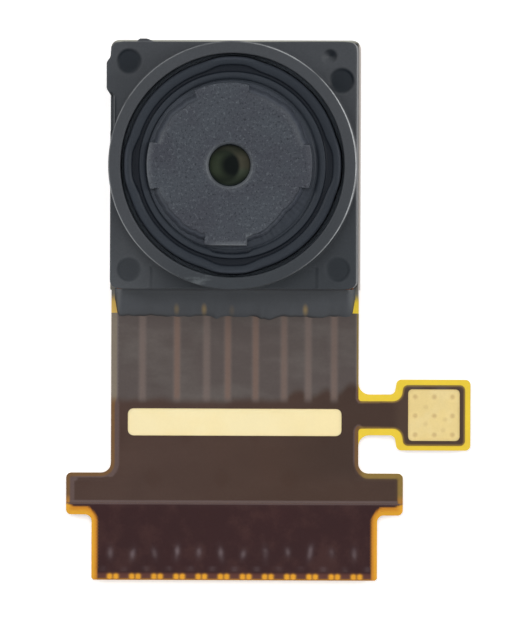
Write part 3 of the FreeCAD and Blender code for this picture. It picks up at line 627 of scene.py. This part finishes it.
# The dark shielding film. A thin brown-black film pressed over the front of the circuit: it sinks by a hair
# where there is no copper below, at the slots and round the edge, and is open over the two gold pads.
def rounded_line(corners, bend=7):
    """Points along a closed outline of corners (x, y, radius): each corner is an arc between the points where
    its circle touches the sides, swept evenly from one radius to the other."""
    corners = np.array(corners, float)
    points = []
    for i, (x, y, radius) in enumerate(corners):
        here = np.array([x, y])
        if radius <= 0:
            points.append(here)
            continue
        before = corners[i - 1][:2] - here
        after = corners[(i + 1) % len(corners)][:2] - here
        before /= np.linalg.norm(before)
        after /= np.linalg.norm(after)
        half = math.acos(np.clip(before @ after, -1, 1)) / 2
        middle = here + (before + after) / np.linalg.norm(before + after) * radius / math.sin(half)
        first = here + before * radius / math.tan(half) - middle
        last = here + after * radius / math.tan(half) - middle
        sweep = math.pi - 2 * half
        for t in np.linspace(0, 1, bend):
            points.append(middle + (math.sin((1 - t) * sweep) * first + math.sin(t * sweep) * last) / math.sin(sweep))
    return np.array(points)


def divided(line, spacing):
    """The closed line with its sides cut into equal steps no longer than spacing."""
    points = []
    for start, end in zip(line, np.roll(line, -1, axis=0)):
        count = max(1, math.ceil(np.linalg.norm(end - start) / spacing))
        points.append(start + (end - start) * np.arange(count)[:, None] / count)
    return np.concatenate(points)


def depth_in(line, x, y):
    """Distance from each place to the nearest side of a closed line, positive inside it and negative outside."""
    start, end = line, np.roll(line, -1, axis=0)
    side = end - start
    away = np.stack([x, y], axis=1)[:, None, :] - start
    t = np.clip((away * side).sum(2) / np.maximum((side**2).sum(1), 1e-12), 0, 1)
    nearest = np.linalg.norm(away - t[..., None] * side, axis=2).min(axis=1)
    x, y = x[:, None], y[:, None]
    above = (start[:, 1] > y) != (end[:, 1] > y)
    rise = np.where(np.abs(side[:, 1]) < 1e-12, 1e-12, side[:, 1])
    crossing = start[:, 0] + (y - start[:, 1]) * side[:, 0] / rise
    inside = (above & (x < crossing)).sum(axis=1) % 2 == 1
    return np.where(inside, nearest, -nearest)


def within(outline, holes, places):
    """Distance of each place to the nearest side of an outline with holes, positive on the material."""
    return np.min([depth_in(outline, *places.T)] + [-depth_in(hole, *places.T) for hole in holes], axis=0)


def sheet(name, outline, holes, spacing, low, height, masks=None, finer=()):
    """Closed flat piece: its outline and holes joined to an even lattice of points by the shortest triangles, the
    top at height(x, y), the underside flat at low and upright walls between. masks(x, y) gives four shares from 0
    to 1 for the material. finer lists (x0, x1, y0, y1, spacing) areas with a closer lattice."""
    loops = [divided(line, spacing) for line in [outline, *holes]]
    low_x, low_y = outline.min(axis=0)
    high_x, high_y = outline.max(axis=0)
    lattice = []
    for x0, x1, y0, y1, gap in [(low_x, high_x, low_y, high_y, spacing), *finer]:
        x, y = np.meshgrid(np.arange(x0, x1 + gap / 2, gap), np.arange(y0, y1 + gap / 2, gap * 0.87))
        x[1::2] += gap / 2
        lattice.append(np.stack([x.ravel(), y.ravel()], axis=1))
    for x0, x1, y0, y1, gap in finer:
        x, y = lattice[0].T
        covered = (x > x0 - gap) & (x < x1 + gap) & (y > y0 - gap) & (y < y1 + gap)
        lattice[0] = lattice[0][~covered]
    lattice = np.concatenate(lattice)
    points = np.concatenate([*loops, lattice[within(outline, holes, lattice) > spacing * 0.3]])
    edges, start = [], 0
    for loop in loops:
        count = len(loop)
        edges += [(start + i, start + (i + 1) % count) for i in range(count)]
        start += count
    joined = mathutils.geometry.delaunay_2d_cdt([mathutils.Vector(p) for p in points], edges, [], 0, 1e-7)
    flat_points = np.array([tuple(p) for p in joined[0]])
    triangles = np.array(joined[2])
    triangles = triangles[within(outline, holes, flat_points[triangles].mean(axis=1)) > 0]
    used = np.unique(triangles)
    number = np.full(len(flat_points), -1)
    number[used] = np.arange(len(used))
    flat_points, triangles = flat_points[used], number[triangles]
    x, y = flat_points.T
    sides = np.concatenate([triangles[:, (0, 1)], triangles[:, (1, 2)], triangles[:, (2, 0)]])
    both_ways = set(map(tuple, sides.tolist()))
    here, there = np.array([(a, b) for a, b in both_ways if (b, a) not in both_ways]).T
    count = len(flat_points)
    walls = [np.stack([there, here, here + count], axis=1), np.stack([there, here + count, there + count], axis=1)]
    faces = np.concatenate([triangles, triangles[:, ::-1] + count, *walls]).tolist()
    top = np.stack([x, y, height(x, y)], axis=1)
    under = np.stack([x, y, np.full_like(x, low)], axis=1)
    piece = piece_from(name, np.concatenate([top, under]), faces)
    if masks is not None:
        store_masks(piece, [np.tile(share, 2) for share in masks(x, y)])
    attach(piece, "root")
    return piece


body_half, ear_half, tail_half = 3.335, 4.54, 3.85
ear_top, ear_low, tail_end, branch_y = -8.30, -9.43, -11.19, -6.72
neck_end, tab_left, tab_right, shoulder_round = 4.305, 4.375, 6.355, 0.15
slot_outer, slot_inner, film_low, film_top, film_sink = 0.145, 0.045, 0.326, 0.3395, 0.010


def circuit(inset, branch_inset):
    """The right-hand side of the circuit's outline from the tail to the head, as corners (x, y, radius)."""
    neck, tab, low_tab = 0.55 - branch_inset, 0.955 - 0.8 * branch_inset, 0.955 - 0.7 * branch_inset
    tail, ear, body = tail_half - inset, ear_half - inset, body_half - inset
    near_x, far_x, neck_x = tab_left + branch_inset, tab_right - 0.8 * branch_inset, neck_end + branch_inset
    shoulder, root = shoulder_round + 0.6 * branch_inset, 0.30 - 1.2 * branch_inset
    return [
        (tail, tail_end + inset, 0.08), (tail, ear_low + inset, 0.18), (ear, ear_low + inset, 0.14),
        (ear, ear_top - inset, 0.14), (body, ear_top - inset, 0.27), (body, branch_y - neck, root),
        (neck_x, branch_y - neck, shoulder), (near_x, branch_y - low_tab, 0.14), (far_x, branch_y - low_tab, 0.14),
        (far_x, branch_y + tab, 0.14), (near_x, branch_y + tab, 0.14), (neck_x, branch_y + neck, shoulder),
        (body, branch_y + neck, root),
    ]


def flat_circuit(low_y, high_y, inset, branch_inset):
    """Closed outline of the circuit between two places along it; the left side has no branch."""
    right = [corner for corner in circuit(inset, branch_inset) if low_y < corner[1] < high_y]
    left = [(-x, y, radius) for x, y, radius in right[::-1] if y <= ear_top]
    low_x = (ear_half if low_y > ear_low else tail_half) - inset
    high_x = (body_half if high_y > ear_top else ear_half) - inset
    ends = [(high_x, high_y, 0), (-high_x, high_y, 0)]
    return rounded_line([(low_x, low_y, 0), *right, *ends, *left, (-low_x, low_y, 0)])


def box_line(middle, size, corner):
    """Closed outline of a rounded rectangle."""
    (x, y), (half_x, half_y) = middle, (size[0] / 2, size[1] / 2)
    return rounded_line([(x - half_x, y - half_y, corner), (x + half_x, y - half_y, corner),
                         (x + half_x, y + half_y, corner), (x - half_x, y + half_y, corner)], 6)


bar_middle, bar_size, bar_corner = (0, -6.93), (5.76, 0.73), 0.15
pad_middle, pad_size, pad_corner = (5.37, branch_y), (1.39, 1.39), 0.11
film_line = flat_circuit(-9.11, -3.99, 0, 0.18)
copper_line = flat_circuit(-10.96, -3.30, 0.15, 0.20)
circuit_line = flat_circuit(tail_end, -3.30, 0, 0.18)

# (x, warmth) of the slots of the copper
slots = [(-2.49, 0.1), (-1.56, 0.65), (-0.76, 0.1), (-0.19, 0.6), (0.56, 0.6), (1.33, 0.35), (1.98, 0.15), (2.68, 0.3)]


def in_slots(x, y):
    """How far a place lies in a slot of the copper: full in the middle, soft at the sides and the lower end."""
    along = smooth(y, -6.46, -6.22) * smooth(y, -3.70, -3.80)
    return sum(near(x, middle, slot_outer, slot_inner) for middle, _ in slots) * along


def film_height(x, y):
    """Top of the film: pressed down by film_sink where no copper holds it up, with a faint slow swell."""
    held = smooth(depth_in(copper_line, x, y), -0.035, 0.035) * (1 - in_slots(x, y))
    swell = 0.0006 * np.sin(1.7 * x + 0.6) * np.cos(1.3 * y)
    return film_top + film_sink * held + swell + 0.0012 * smooth(depth_in(film_line, x, y), 0.0, 0.03)


def film_masks(x, y):
    """Shares of slot, warm slot, rim without copper with a painted highlight along the step inside it, and the upper
    field with a painted sheen.
    """
    slot = in_slots(x, y)
    warm = sum(near(x, middle, slot_outer, slot_inner) * warmth for middle, warmth in slots)
    depth = depth_in(circuit_line, x, y)
    narrow = np.maximum(smooth(x, 3.30, 3.50), 0.8 * (x > 2.9) * smooth(y, -6.9, -6.6)) * (y > ear_top + 0.3)
    upper_left = smooth(y, -6.5, -6.2) * (x < 0)
    right_ear = smooth(x, 3.2, 3.6) * smooth(y, ear_top + 0.2, ear_top)
    start = 0.06 - 0.05 * narrow + 0.06 * upper_left
    rim = 1 - smooth(depth, start, start + 0.10 - 0.04 * narrow + 0.10 * right_ear)
    # Painted highlight along the step inside the rim, on the sides only.
    at_side = near(-x, np.where(y > ear_top - 0.1, body_half, ear_half), 0.34, 0.27) * (1 - upper_left)
    at_side = at_side + 0.3 * near(x, body_half, 0.30, 0.26) * smooth(y, -6.0, -5.6)
    painted_step_highlight = bell(depth, 0.18 - 0.08 * (x > 0), 0.05) * at_side
    # Painted sheen: the greyer upper field, with a wavy boundary that climbs on the right.
    wave = 0.10 * np.sin(2.1 * x + 0.4) + 0.07 * np.sin(5.3 * x) + 0.05 * np.sin(9.7 * x + 2)
    climb = 0.30 * smooth(x, 1.15, 1.6) * (0.8 + 0.2 * np.sin(9.0 * x - 1.6)) + 0.14 * smooth(x, 2.75, 3.1)
    painted_sheen = smooth(y - 0.25 * wave, -6.48 + climb, -6.20 + climb)
    return slot, slot * warm, rim + (1 - rim) * 0.4 * painted_step_highlight, painted_sheen


film = sheet(
    "shield_film_sheet", film_line,
    [box_line(bar_middle, bar_size, bar_corner), box_line(pad_middle, pad_size, pad_corner)],
    0.055, film_low, film_height, film_masks, [(3.95, 6.20, -7.52, -5.92, 0.032), (3.02, 3.335, -6.1, -4.0, 0.032)],
)
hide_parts("shield_film")


def shielded(tree, colour):
    """Brown film: greyer in the upper field with a painted sheen, lighter and here and there warmer over the slots,
    amber at its rim with a painted highlight along the step inside it, and a painted highlight along its end by the
    stiffener's edge."""
    slot, warm, rim, painted_sheen = masks_of(tree)
    x, y, _ = axes(tree)
    streak = patches(tree, 0.9, 4, 0.6, 0.40, 0.68, (0.5, 1.2, 1))
    on_rim = step(tree, rim, 0.42, 0.9)
    right, branch = step(tree, x, 2.5, 3.0), step(tree, x, 3.3, 3.5)
    right_ear = times(tree, right, step(tree, y, -7.9, -8.2))
    # Painted highlight along the step inside the rim.
    step_highlight_share = (step(tree, rim, 0.05, 0.38), maths(tree, "MULTIPLY_ADD", right_ear, -0.45, 0.55))
    step_highlight_tone = blend(tree, branch, blend(tree, painted_sheen, "#6a5855", "#766b69"), "#6e5534")
    amber = layered(tree, "#6f5030", (branch, "#8a7038"), (step(tree, y, -8.85, -9.10), "#b07a32"))
    rim_tone = blend(tree, painted_sheen, amber, blend(tree, right, "#7f7466", "#85713f"))
    # Painted highlight along the film's end, where the stiffener's edge steps up.
    ledge_highlight = (step(tree, y, -9.02, -9.07), maths(tree, "SUBTRACT", 1.0, on_rim), 0.85)
    return layered(
        tree, colour,
        ((step(tree, x, 2.0, -2.5), 0.5), "#46332d"),
        ((streak, 0.14), "#55433b"),
        ((step(tree, x, 0.5, 3.0), step(tree, y, -8.7, -8.1), 0.5), "#34251e"),
        (painted_sheen, blend(tree, streak, "#504744", "#5b5450")),
        ((slot, 0.82), blend(tree, warm, "#6c605b", "#775c4e")),
        ((step(tree, x, 4.2, 4.5), step(tree, y, -8.1, -7.8), 0.5), "#4d3b2f"),
        (step_highlight_share, step_highlight_tone), (on_rim, rim_tone), (ledge_highlight, "#665552"),
    )


film.data.materials.append(finish(
    "dark_shield_film", "#412e25", (0.9, 0.08), (14, 0.08, 0.0005), 0.36, shielded, Specular_IOR_Level=0.2,
))


# The two ground pads. Gold-plated copper in the openings of the film: a long bar with a few faint dents, and a
# square with the nine small hollows of the plated holes below it.
plating_low, plating_top = 0.296, 0.3058
holes_below = [(x, y) for x in (4.866, 5.380, 5.870) for y in (-6.231, -6.741, -7.251)]
small_pits = [(5.145, -6.96), (5.67, -6.84), (5.15, -6.50), (5.62, -7.12)]
bar_pits = [(1.55, -6.86), (2.45, -7.02), (-0.6, -6.80), (-1.9, -7.10), (2.62, -6.75)]


def dents(x, y, places, radius, depth):
    """Sum of small bell-shaped hollows, depth times the exponential of minus the squared distance over radius."""
    return sum(depth * bell(np.hypot(x - middle_x, y - middle_y), 0, radius) for middle_x, middle_y in places)


bar = sheet(
    "ground_bar_gold", box_line(bar_middle, bar_size, 0), [], 0.06, plating_low,
    lambda x, y: plating_top - dents(x, y, bar_pits, 0.10, 0.0012) - 0.0004 * np.cos(3.1 * x + 2 * y),
)
pad = sheet(
    "ground_pad_gold", box_line(pad_middle, pad_size, 0), [], 0.028, plating_low,
    lambda x, y: plating_top - dents(x, y, holes_below, 0.055, 0.006) - dents(x, y, small_pits, 0.04, 0.003),
)
for piece, node in ((bar, "bar_plating"), (pad, "pad_plating")):
    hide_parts(node)


def spots(tree, where, places, outer, inner):
    """Share of soft round spots, each (x, y, z, strength), gone beyond outer and full within inner."""
    share = 0
    for *place, strength in places:
        spot = step(tree, distance(tree, where, place), outer, inner)
        share = maths(tree, "MAXIMUM", share, times(tree, spot, strength))
    return share


def stained_pad(tree, colour):
    """Rosy stains over the plated holes, and a tone that drifts along the metal."""
    places = [(x, y, plating_top, 1.0) for x, y in holes_below] + [(x, y, plating_top, 0.45) for x, y in small_pits]
    stains = spots(tree, in_mm(tree), places, 0.10, 0.02)
    drift = patches(tree, 1.1, 3, 0.6, 0.42, 0.62)
    return layered(tree, colour, ((drift, 0.45), "#e4d19c"), ((stains, 0.6), "#b99a68"))


def drifting_bar(tree, colour):
    """A slightly duller, deeper tone in patches and towards the right-hand end of the bar."""
    drift = patches(tree, 0.7, 3, 0.6, 0.40, 0.62)
    right = step(tree, axes(tree)[0], 1.2, 2.4)
    return layered(tree, colour, ((maths(tree, "MAXIMUM", drift, right), 0.45), "#efdca4"))


bar.data.materials.append(finish(
    "gold_bar", "#f0e1b2", (0.8, 0.03), (18, 0.02, 0.0006), 0.42, drifting_bar, Metallic=0.75,
))
pad.data.materials.append(finish(
    "gold_pad", "#e2cb8c", (1.6, 0.05), (24, 0.05, 0.0010), 0.45, stained_pad, Metallic=0.75,
))


# The stiffener of the contact tail. Amber film laminated over the end of the circuit: maroon where copper lies
# behind it, bright orange along the bare margin and in the slits between the contacts at the very end.
def tail_outline(low_y, high_y, corner):
    """Closed outline of the tail and its ears from low_y, with corners rounded by corner, to high_y."""
    right = [(tail_half, low_y, corner), (tail_half, ear_low, 0.18), (ear_half, ear_low, 0.14), (ear_half, high_y, 0)]
    left = [(-x, y, radius) for x, y, radius in right[::-1]]
    return rounded_line([left[-1], *right, *left[:-1]])


tail_line = tail_outline(tail_end, -9.112, 0.08)
margin_line = tail_outline(-12.0, -8.0, 0)
first_rear, rear_pitch, rear_y = -3.34, 0.5975, -10.46
tail_low, tail_top, dash_height, edge_fall = 0.351, 0.4225, 0.0025, 0.012
dash_strength = [0.55, 0.75, 0.45, 1.0, 0.95, 0.85, 0.6, 0.75, 0.7, 0.85, 0.65, 0.55]


def rear_dashes(x, y):
    """Faint raised dashes over the rear contacts, each a soft upright stroke of its own strength."""
    strokes = 0
    for i, strength in enumerate(dash_strength):
        lean = 0.15 * math.sin(2.3 * i)
        across = (x - first_rear - rear_pitch * i - lean * (y + 10.5)) / 0.065
        along = (y - rear_y - 0.03 * math.sin(5 * i)) / (0.13 + 0.03 * math.sin(3 * i))
        strokes = strokes + strength * np.exp(-across**2 - along**2)
    return strokes


def tail_height(x, y):
    """Top of the stiffener: flat with low dashes, falling towards its edge by an exponential of the distance."""
    fall = np.exp(-np.maximum(depth_in(tail_line, x, y), 0) / edge_fall)
    return tail_top + dash_height * rear_dashes(x, y) - edge_fall * fall


def tail_masks(x, y):
    """Shares of bare margin, slit between contacts, painted glint on each raised stroke over a rear contact, and depth
    within the margin.
    """
    depth = depth_in(margin_line, x, y)
    wide = 0.155 + 0.075 * near(x, 0, 3.75, 4.0)
    start = -9.11 - 0.08 * smooth(ear_half - np.abs(x), 0.0, 0.25)
    bare = (1 - smooth(depth, wide - 0.03, wide + 0.03)) * smooth(y, start, start - 0.05)
    between_sides = near(x, 0, 3.72, 3.66)
    phase = np.abs((x - first_rear + 0.23) % rear_pitch - rear_pitch / 2)
    reach = np.maximum(np.abs(y + 11.10) - 0.035, 0) / 0.045
    slit = 1.05 * np.exp(-(np.abs(phase - 0.084) / 0.072) ** 2.6 - (reach * (1 + 5 * np.abs(phase - 0.085))) ** 2)
    slit = slit + 0.12 * smooth(y, -10.97, -11.05) * smooth(phase, 0.20, 0.12)
    slit = np.maximum(slit * between_sides, 0.45 * smooth(y, -11.135, -11.17))
    between = bell(phase, 0.29, 0.08) * smooth(y, -10.98, -10.93) * smooth(y, -10.78, -10.86)
    dash_glint = np.clip(rear_dashes(x, y) + 0.22 * between, 0, 1)
    return bare, slit, dash_glint, smooth(depth, 0.0, wide)


tail = sheet(
    "tail_stiffener", tail_line, [], 0.05, tail_low, tail_height, tail_masks,
    [(-3.72, 3.72, -11.17, -10.90, 0.024), (-3.5, 3.6, -10.80, -10.22, 0.032)],
)
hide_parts("tail_plate")


def backed_amber(tree, colour):
    """Maroon over copper with cloudy patches, orange in the margin and slits, painted glints on the raised strokes and
    a painted highlight along its upper edge.
    """
    bare, slit, dash_glint, inward = masks_of(tree)
    y = axes(tree)[1]
    cloudy = patches(tree, 1.5, 4, 0.65, 0.42, 0.66, (1, 0.8, 1))
    broken = maths(tree, "MULTIPLY_ADD", patches(tree, 3.0, 1, 0.5, 0.30, 0.62), 0.7, 0.3)
    # Painted glints on the raised strokes, and a painted highlight along the upper edge, where the stiffener steps up.
    return layered(
        tree, colour, ((cloudy, 0.55), "#432a27"), ((dash_glint, broken), "#6c5d60"),
        ((step(tree, y, -9.17, -9.13), 0.85), "#604f4c"), ((step(tree, y, -10.96, -11.06), 0.6), "#6d4238"),
        (slit, "#e8a22e"), (bare, blend(tree, inward, "#e6a832", "#c98128")),
    )


tail.data.materials.append(finish(
    "amber_over_copper", "#311a1b", (0.8, 0.10), (12, 0.06, 0.0006), 0.34, backed_amber, Specular_IOR_Level=0.16,
))


# The glue at the edge of the head. Black epoxy run along the joint by hand: it climbs the housing's wall a little,
# ends in a rounded, uneven lower edge and creeps further down in a few places.
glue_x = np.concatenate([[-3.24], np.linspace(-3.23, 3.23, 230), [3.24]])
glue_back, glue_low, glue_edge_y, slope_length = -3.345, 0.327, -4.095, 0.46
wall_reach, wall_height, shelf_height = 0.13, 0.735, 0.62

# (x, width, length) of the tongues that creep down, and (x, y, strength) of the specks that shine through
tongues = [(-0.49, 0.10, 0.075), (0.95, 0.20, 0.10), (0.70, 0.08, 0.06), (2.3, 0.30, 0.03)]
glue_specks = [(-1.57, -3.89, 0.5), (-0.83, -3.89, 0.85), (1.90, -3.90, 0.9), (-0.08, -3.92, 0.2)]


def glue_edge(x):
    """Lower edge of the bead: nearly straight, drawn in at both ends, with small waves and a few creeping tongues."""
    waves = 0.012 * np.sin(3.7 * x + 1) + 0.010 * np.sin(9.1 * x) + 0.006 * np.sin(21 * x + 2)
    creep = sum(length * bell(x, middle, width) for middle, width, length in tongues)
    return glue_edge_y - waves - creep + 0.50 * near(x, 0, 3.10, 3.25) ** 2


edge = glue_edge(glue_x)
crown = 1 - 0.8 * near(glue_x, 0, 3.00, 3.24) ** 1.5
swell = 0.012 * np.sin(2.3 * glue_x + 0.5) + 0.007 * np.sin(7.1 * glue_x)
section = []
for share in np.linspace(0, 1, 7):
    fall = np.sin(share * np.pi / 2)
    z = wall_height - (wall_height - shelf_height) * fall**0.6
    section.append((glue_back - wall_reach * fall, (z - glue_low) * crown + swell * share))
for share in np.linspace(0, 1, 16)[1:]:
    y = (glue_back - wall_reach) * (1 - share) + (edge + slope_length) * share
    section.append((y, (shelf_height - 0.02 * share - glue_low) * crown + swell))
for share in np.linspace(0, 1, 15)[1:]:
    left_over = (1 - share**1.6) ** 0.9
    section.append((edge + slope_length * (1 - share), 0.001 + ((0.60 - glue_low) * crown + swell) * left_over))
section += [(edge + 0.002, 0), (glue_back, 0)]
points = np.concatenate([np.stack(np.broadcast_arrays(glue_x, y, glue_low + z), axis=1) for y, z in section])
count = len(glue_x)
caps = [[r * count for r in range(len(section))], [r * count + count - 1 for r in range(len(section))][::-1]]
faces = [face[::-1] for face in grid_faces(len(section), count, True, False) + caps]
glue = piece_from("glue_bead", points, faces, 60)
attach(glue, "root")
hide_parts("edge_glue")


def thin_glue(tree, colour):
    """Amber specks where the bead is thinnest over four of the slots, and a broken line of painted shade along its thin
    lower edge.
    """
    stretch = (1, 0.5, 0.01)
    places = [(x, y / 2, 0.006, strength) for x, y, strength in glue_specks]
    specks = spots(tree, in_mm(tree, stretch), places, 0.11, 0.0)
    # Painted shade along the thin lower edge of the bead.
    low = step(tree, axes(tree)[2], 0.42, 0.36)
    uneven = patches(tree, 1.3, 2, 0.5, 0.35, 0.6, stretch)
    return layered(tree, colour, ((low, uneven, 0.7), "#2b2725"), ((specks, 0.8), "#a08758"))


glue.data.materials.append(finish(
    "black_edge_epoxy", (0.070, 0.075, 0.083, 1), (1.2, 0.2), (16, 0.06, 0.0012), 0.42, thin_glue,
    Specular_IOR_Level=0.3,
))


# The amber films of the circuit. Polyimide over and under the copper, bright yellow where light shines through the
# bare margin of the side branch and deeper orange at the thicker tail; the copper lines print through underneath.
trace_pitch = 0.25


def dress(look, *nodes):
    """Gives CAD nodes a material."""
    for node in nodes:
        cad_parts[node].data.materials.clear()
        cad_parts[node].data.materials.append(look)


def amber_margin(tree, colour):
    """Yellow film, deeper below the branch and near the head, orange at the tail, and greyish where its cut edge
    shows round the head."""
    x, y, _ = axes(tree)
    edge = layered(tree, "#716e66", (step(tree, x, 3.30, 3.34), "#e6ddd4"), (step(tree, y, 3.30, 3.34), "#b2b2a6"))
    return layered(
        tree, colour,
        ((step(tree, y, -6.9, -7.5), step(tree, x, 3.3, 3.6), 0.35), "#e2be3a"),
        ((step(tree, y, -4.20, -3.95), step(tree, x, 3.2, -3.2)), "#dcb45c"),
        (step(tree, y, -3.72, -3.45), edge), (step(tree, y, -8.2, -9.0), "#d98f28"),
    )


def traced_amber(tree, colour):
    """Darker stripes, four to a millimetre, where the copper lines lie under the rear film."""
    x, y, _ = axes(tree)
    wave = maths(tree, "COSINE", times(tree, x, 2 * math.pi / trace_pitch))
    sides = step(tree, maths(tree, "ABSOLUTE", x), 3.1, 3.04)
    ends = times(tree, step(tree, y, -8.32, -8.28), step(tree, y, 2.62, 2.58))
    return layered(tree, colour, ((step(tree, wave, 0.3, 0.7), sides, ends, 0.75), "#8a4f22"))


dress(finish("yellow_margin_film", "#f0cf3a", (0.7, 0.08), (10, 0.04, 0.0005), 0.34, amber_margin,
             Specular_IOR_Level=0.35), "front_cover_film", "flex_base_film")
dress(finish("amber_rear_film", "#c98a2c", (0.7, 0.10), (10, 0.04, 0.0005), 0.34, traced_amber,
             Specular_IOR_Level=0.35), "back_cover_film")


# Copper, gold, solder and ceramic. Etched copper foil a few hundredths of a millimetre thick, gilded contacts,
# pads and wires, and the tinned ends of the small brown capacitors beside the chip.
dress(finish("etched_copper", "#c77d55", (1.4, 0.18), (30, 0.10, 0.0008), 0.42, Metallic=1.0),
      "ground_plane", "signal_traces")
dress(finish("contact_gold", "#e8c468", (1.5, 0.08), (26, 0.08, 0.0008), 0.30, Metallic=1.0),
      "contact_fingers", "head_pads", "bond_wires")
dress(finish("tinned_end", "#b9bcc0", (4, 0.12), (30, 0.12, 0.001), 0.36, Metallic=1.0), "capacitor_terminals")
dress(finish("brown_ceramic", "#8f7354", (5, 0.16), (34, 0.14, 0.0012), 0.6), "capacitors")


# The backing plate and the bonds. Thin stainless steel with a fine grain rolled along it, stuck on by a clear
# adhesive film, and the black epoxy that holds the housing and the filter.
def rolled_steel(tree, colour):
    """Long thin streaks along the plate."""
    streaks = patches(tree, 1.0, 5, 0.65, 0.35, 0.65, (14, 0.35, 1))
    return layered(tree, colour, ((streaks, 0.5), "#8b8d90"))


dress(finish("rolled_steel", "#b4b6b8", (0.5, 0.10), (40, 0.06, 0.0006), 0.34, rolled_steel, Metallic=1.0),
      "back_plate")
dress(finish("clear_adhesive", "#b9a878", (1.5, 0.15), (12, 0.08, 0.001), 0.5),
      "back_plate_bond", "tail_plate_bond", "die_bond")
dress(finish("black_bond_epoxy", (0.022, 0.024, 0.027, 1), (1.5, 0.2), (18, 0.1, 0.0015), 0.5),
      "housing_bond", "filter_bond")


# Inside the head. Clear moulded lenses between black light stops and rings, the bluish glass of the infrared
# filter, and the bare sensor chip with its violet pixel field.
def edge_of_lens(tree, colour):
    """A cooler tone on the flat flange round the clear zone."""
    away = distance(tree, in_mm(tree, (1, 1, 0)), (0, 0, 0))
    return layered(tree, colour, ((step(tree, away, 1.1, 1.5), 0.6), "#c8d3d6"))


def sensor_face(tree, colour):
    """Violet sheen over the pixel field, with a fine grid of lines, inside a plain grey border."""
    x, y, _ = axes(tree)
    inside, weave = [], []
    for along, outer, inner in ((x, 1.55, 1.50), (y, 1.27, 1.22)):
        inside.append(step(tree, maths(tree, "ABSOLUTE", along), outer, inner))
        weave.append(maths(tree, "SINE", times(tree, along, 90.0)))
    pixels = blend(tree, step(tree, times(tree, *weave), -0.3, 0.3), "#4b3f66", "#38506b")
    return layered(tree, colour, (tuple(inside), pixels))


dress(finish("black_stop_film", (0.015, 0.016, 0.018, 1), (2, 0.15), (30, 0.1, 0.0008), 0.6),
      "first_stop", "second_stop")
dress(finish("black_ring_plastic", (0.020, 0.022, 0.026, 1), (1.2, 0.18), (24, 0.12, 0.002), 0.5),
      "spacer_ring", "retaining_ring")
dress(finish("clear_lens_plastic", "#dfe6e2", (1, 0.05), (30, 0.02, 0.0), 0.05, edge_of_lens,
             Transmission_Weight=0.9, IOR=1.54), "second_element", "third_element", "rear_element")
dress(finish("infrared_glass", "#9fc6c4", (0.6, 0.10), (20, 0.02, 0.0), 0.05, Transmission_Weight=0.7, IOR=1.52),
      "infrared_filter")
dress(finish("sensor_silicon", "#5d6066", (1.2, 0.1), (30, 0.03, 0.0), 0.22, sensor_face, Metallic=0.5),
      "image_sensor")
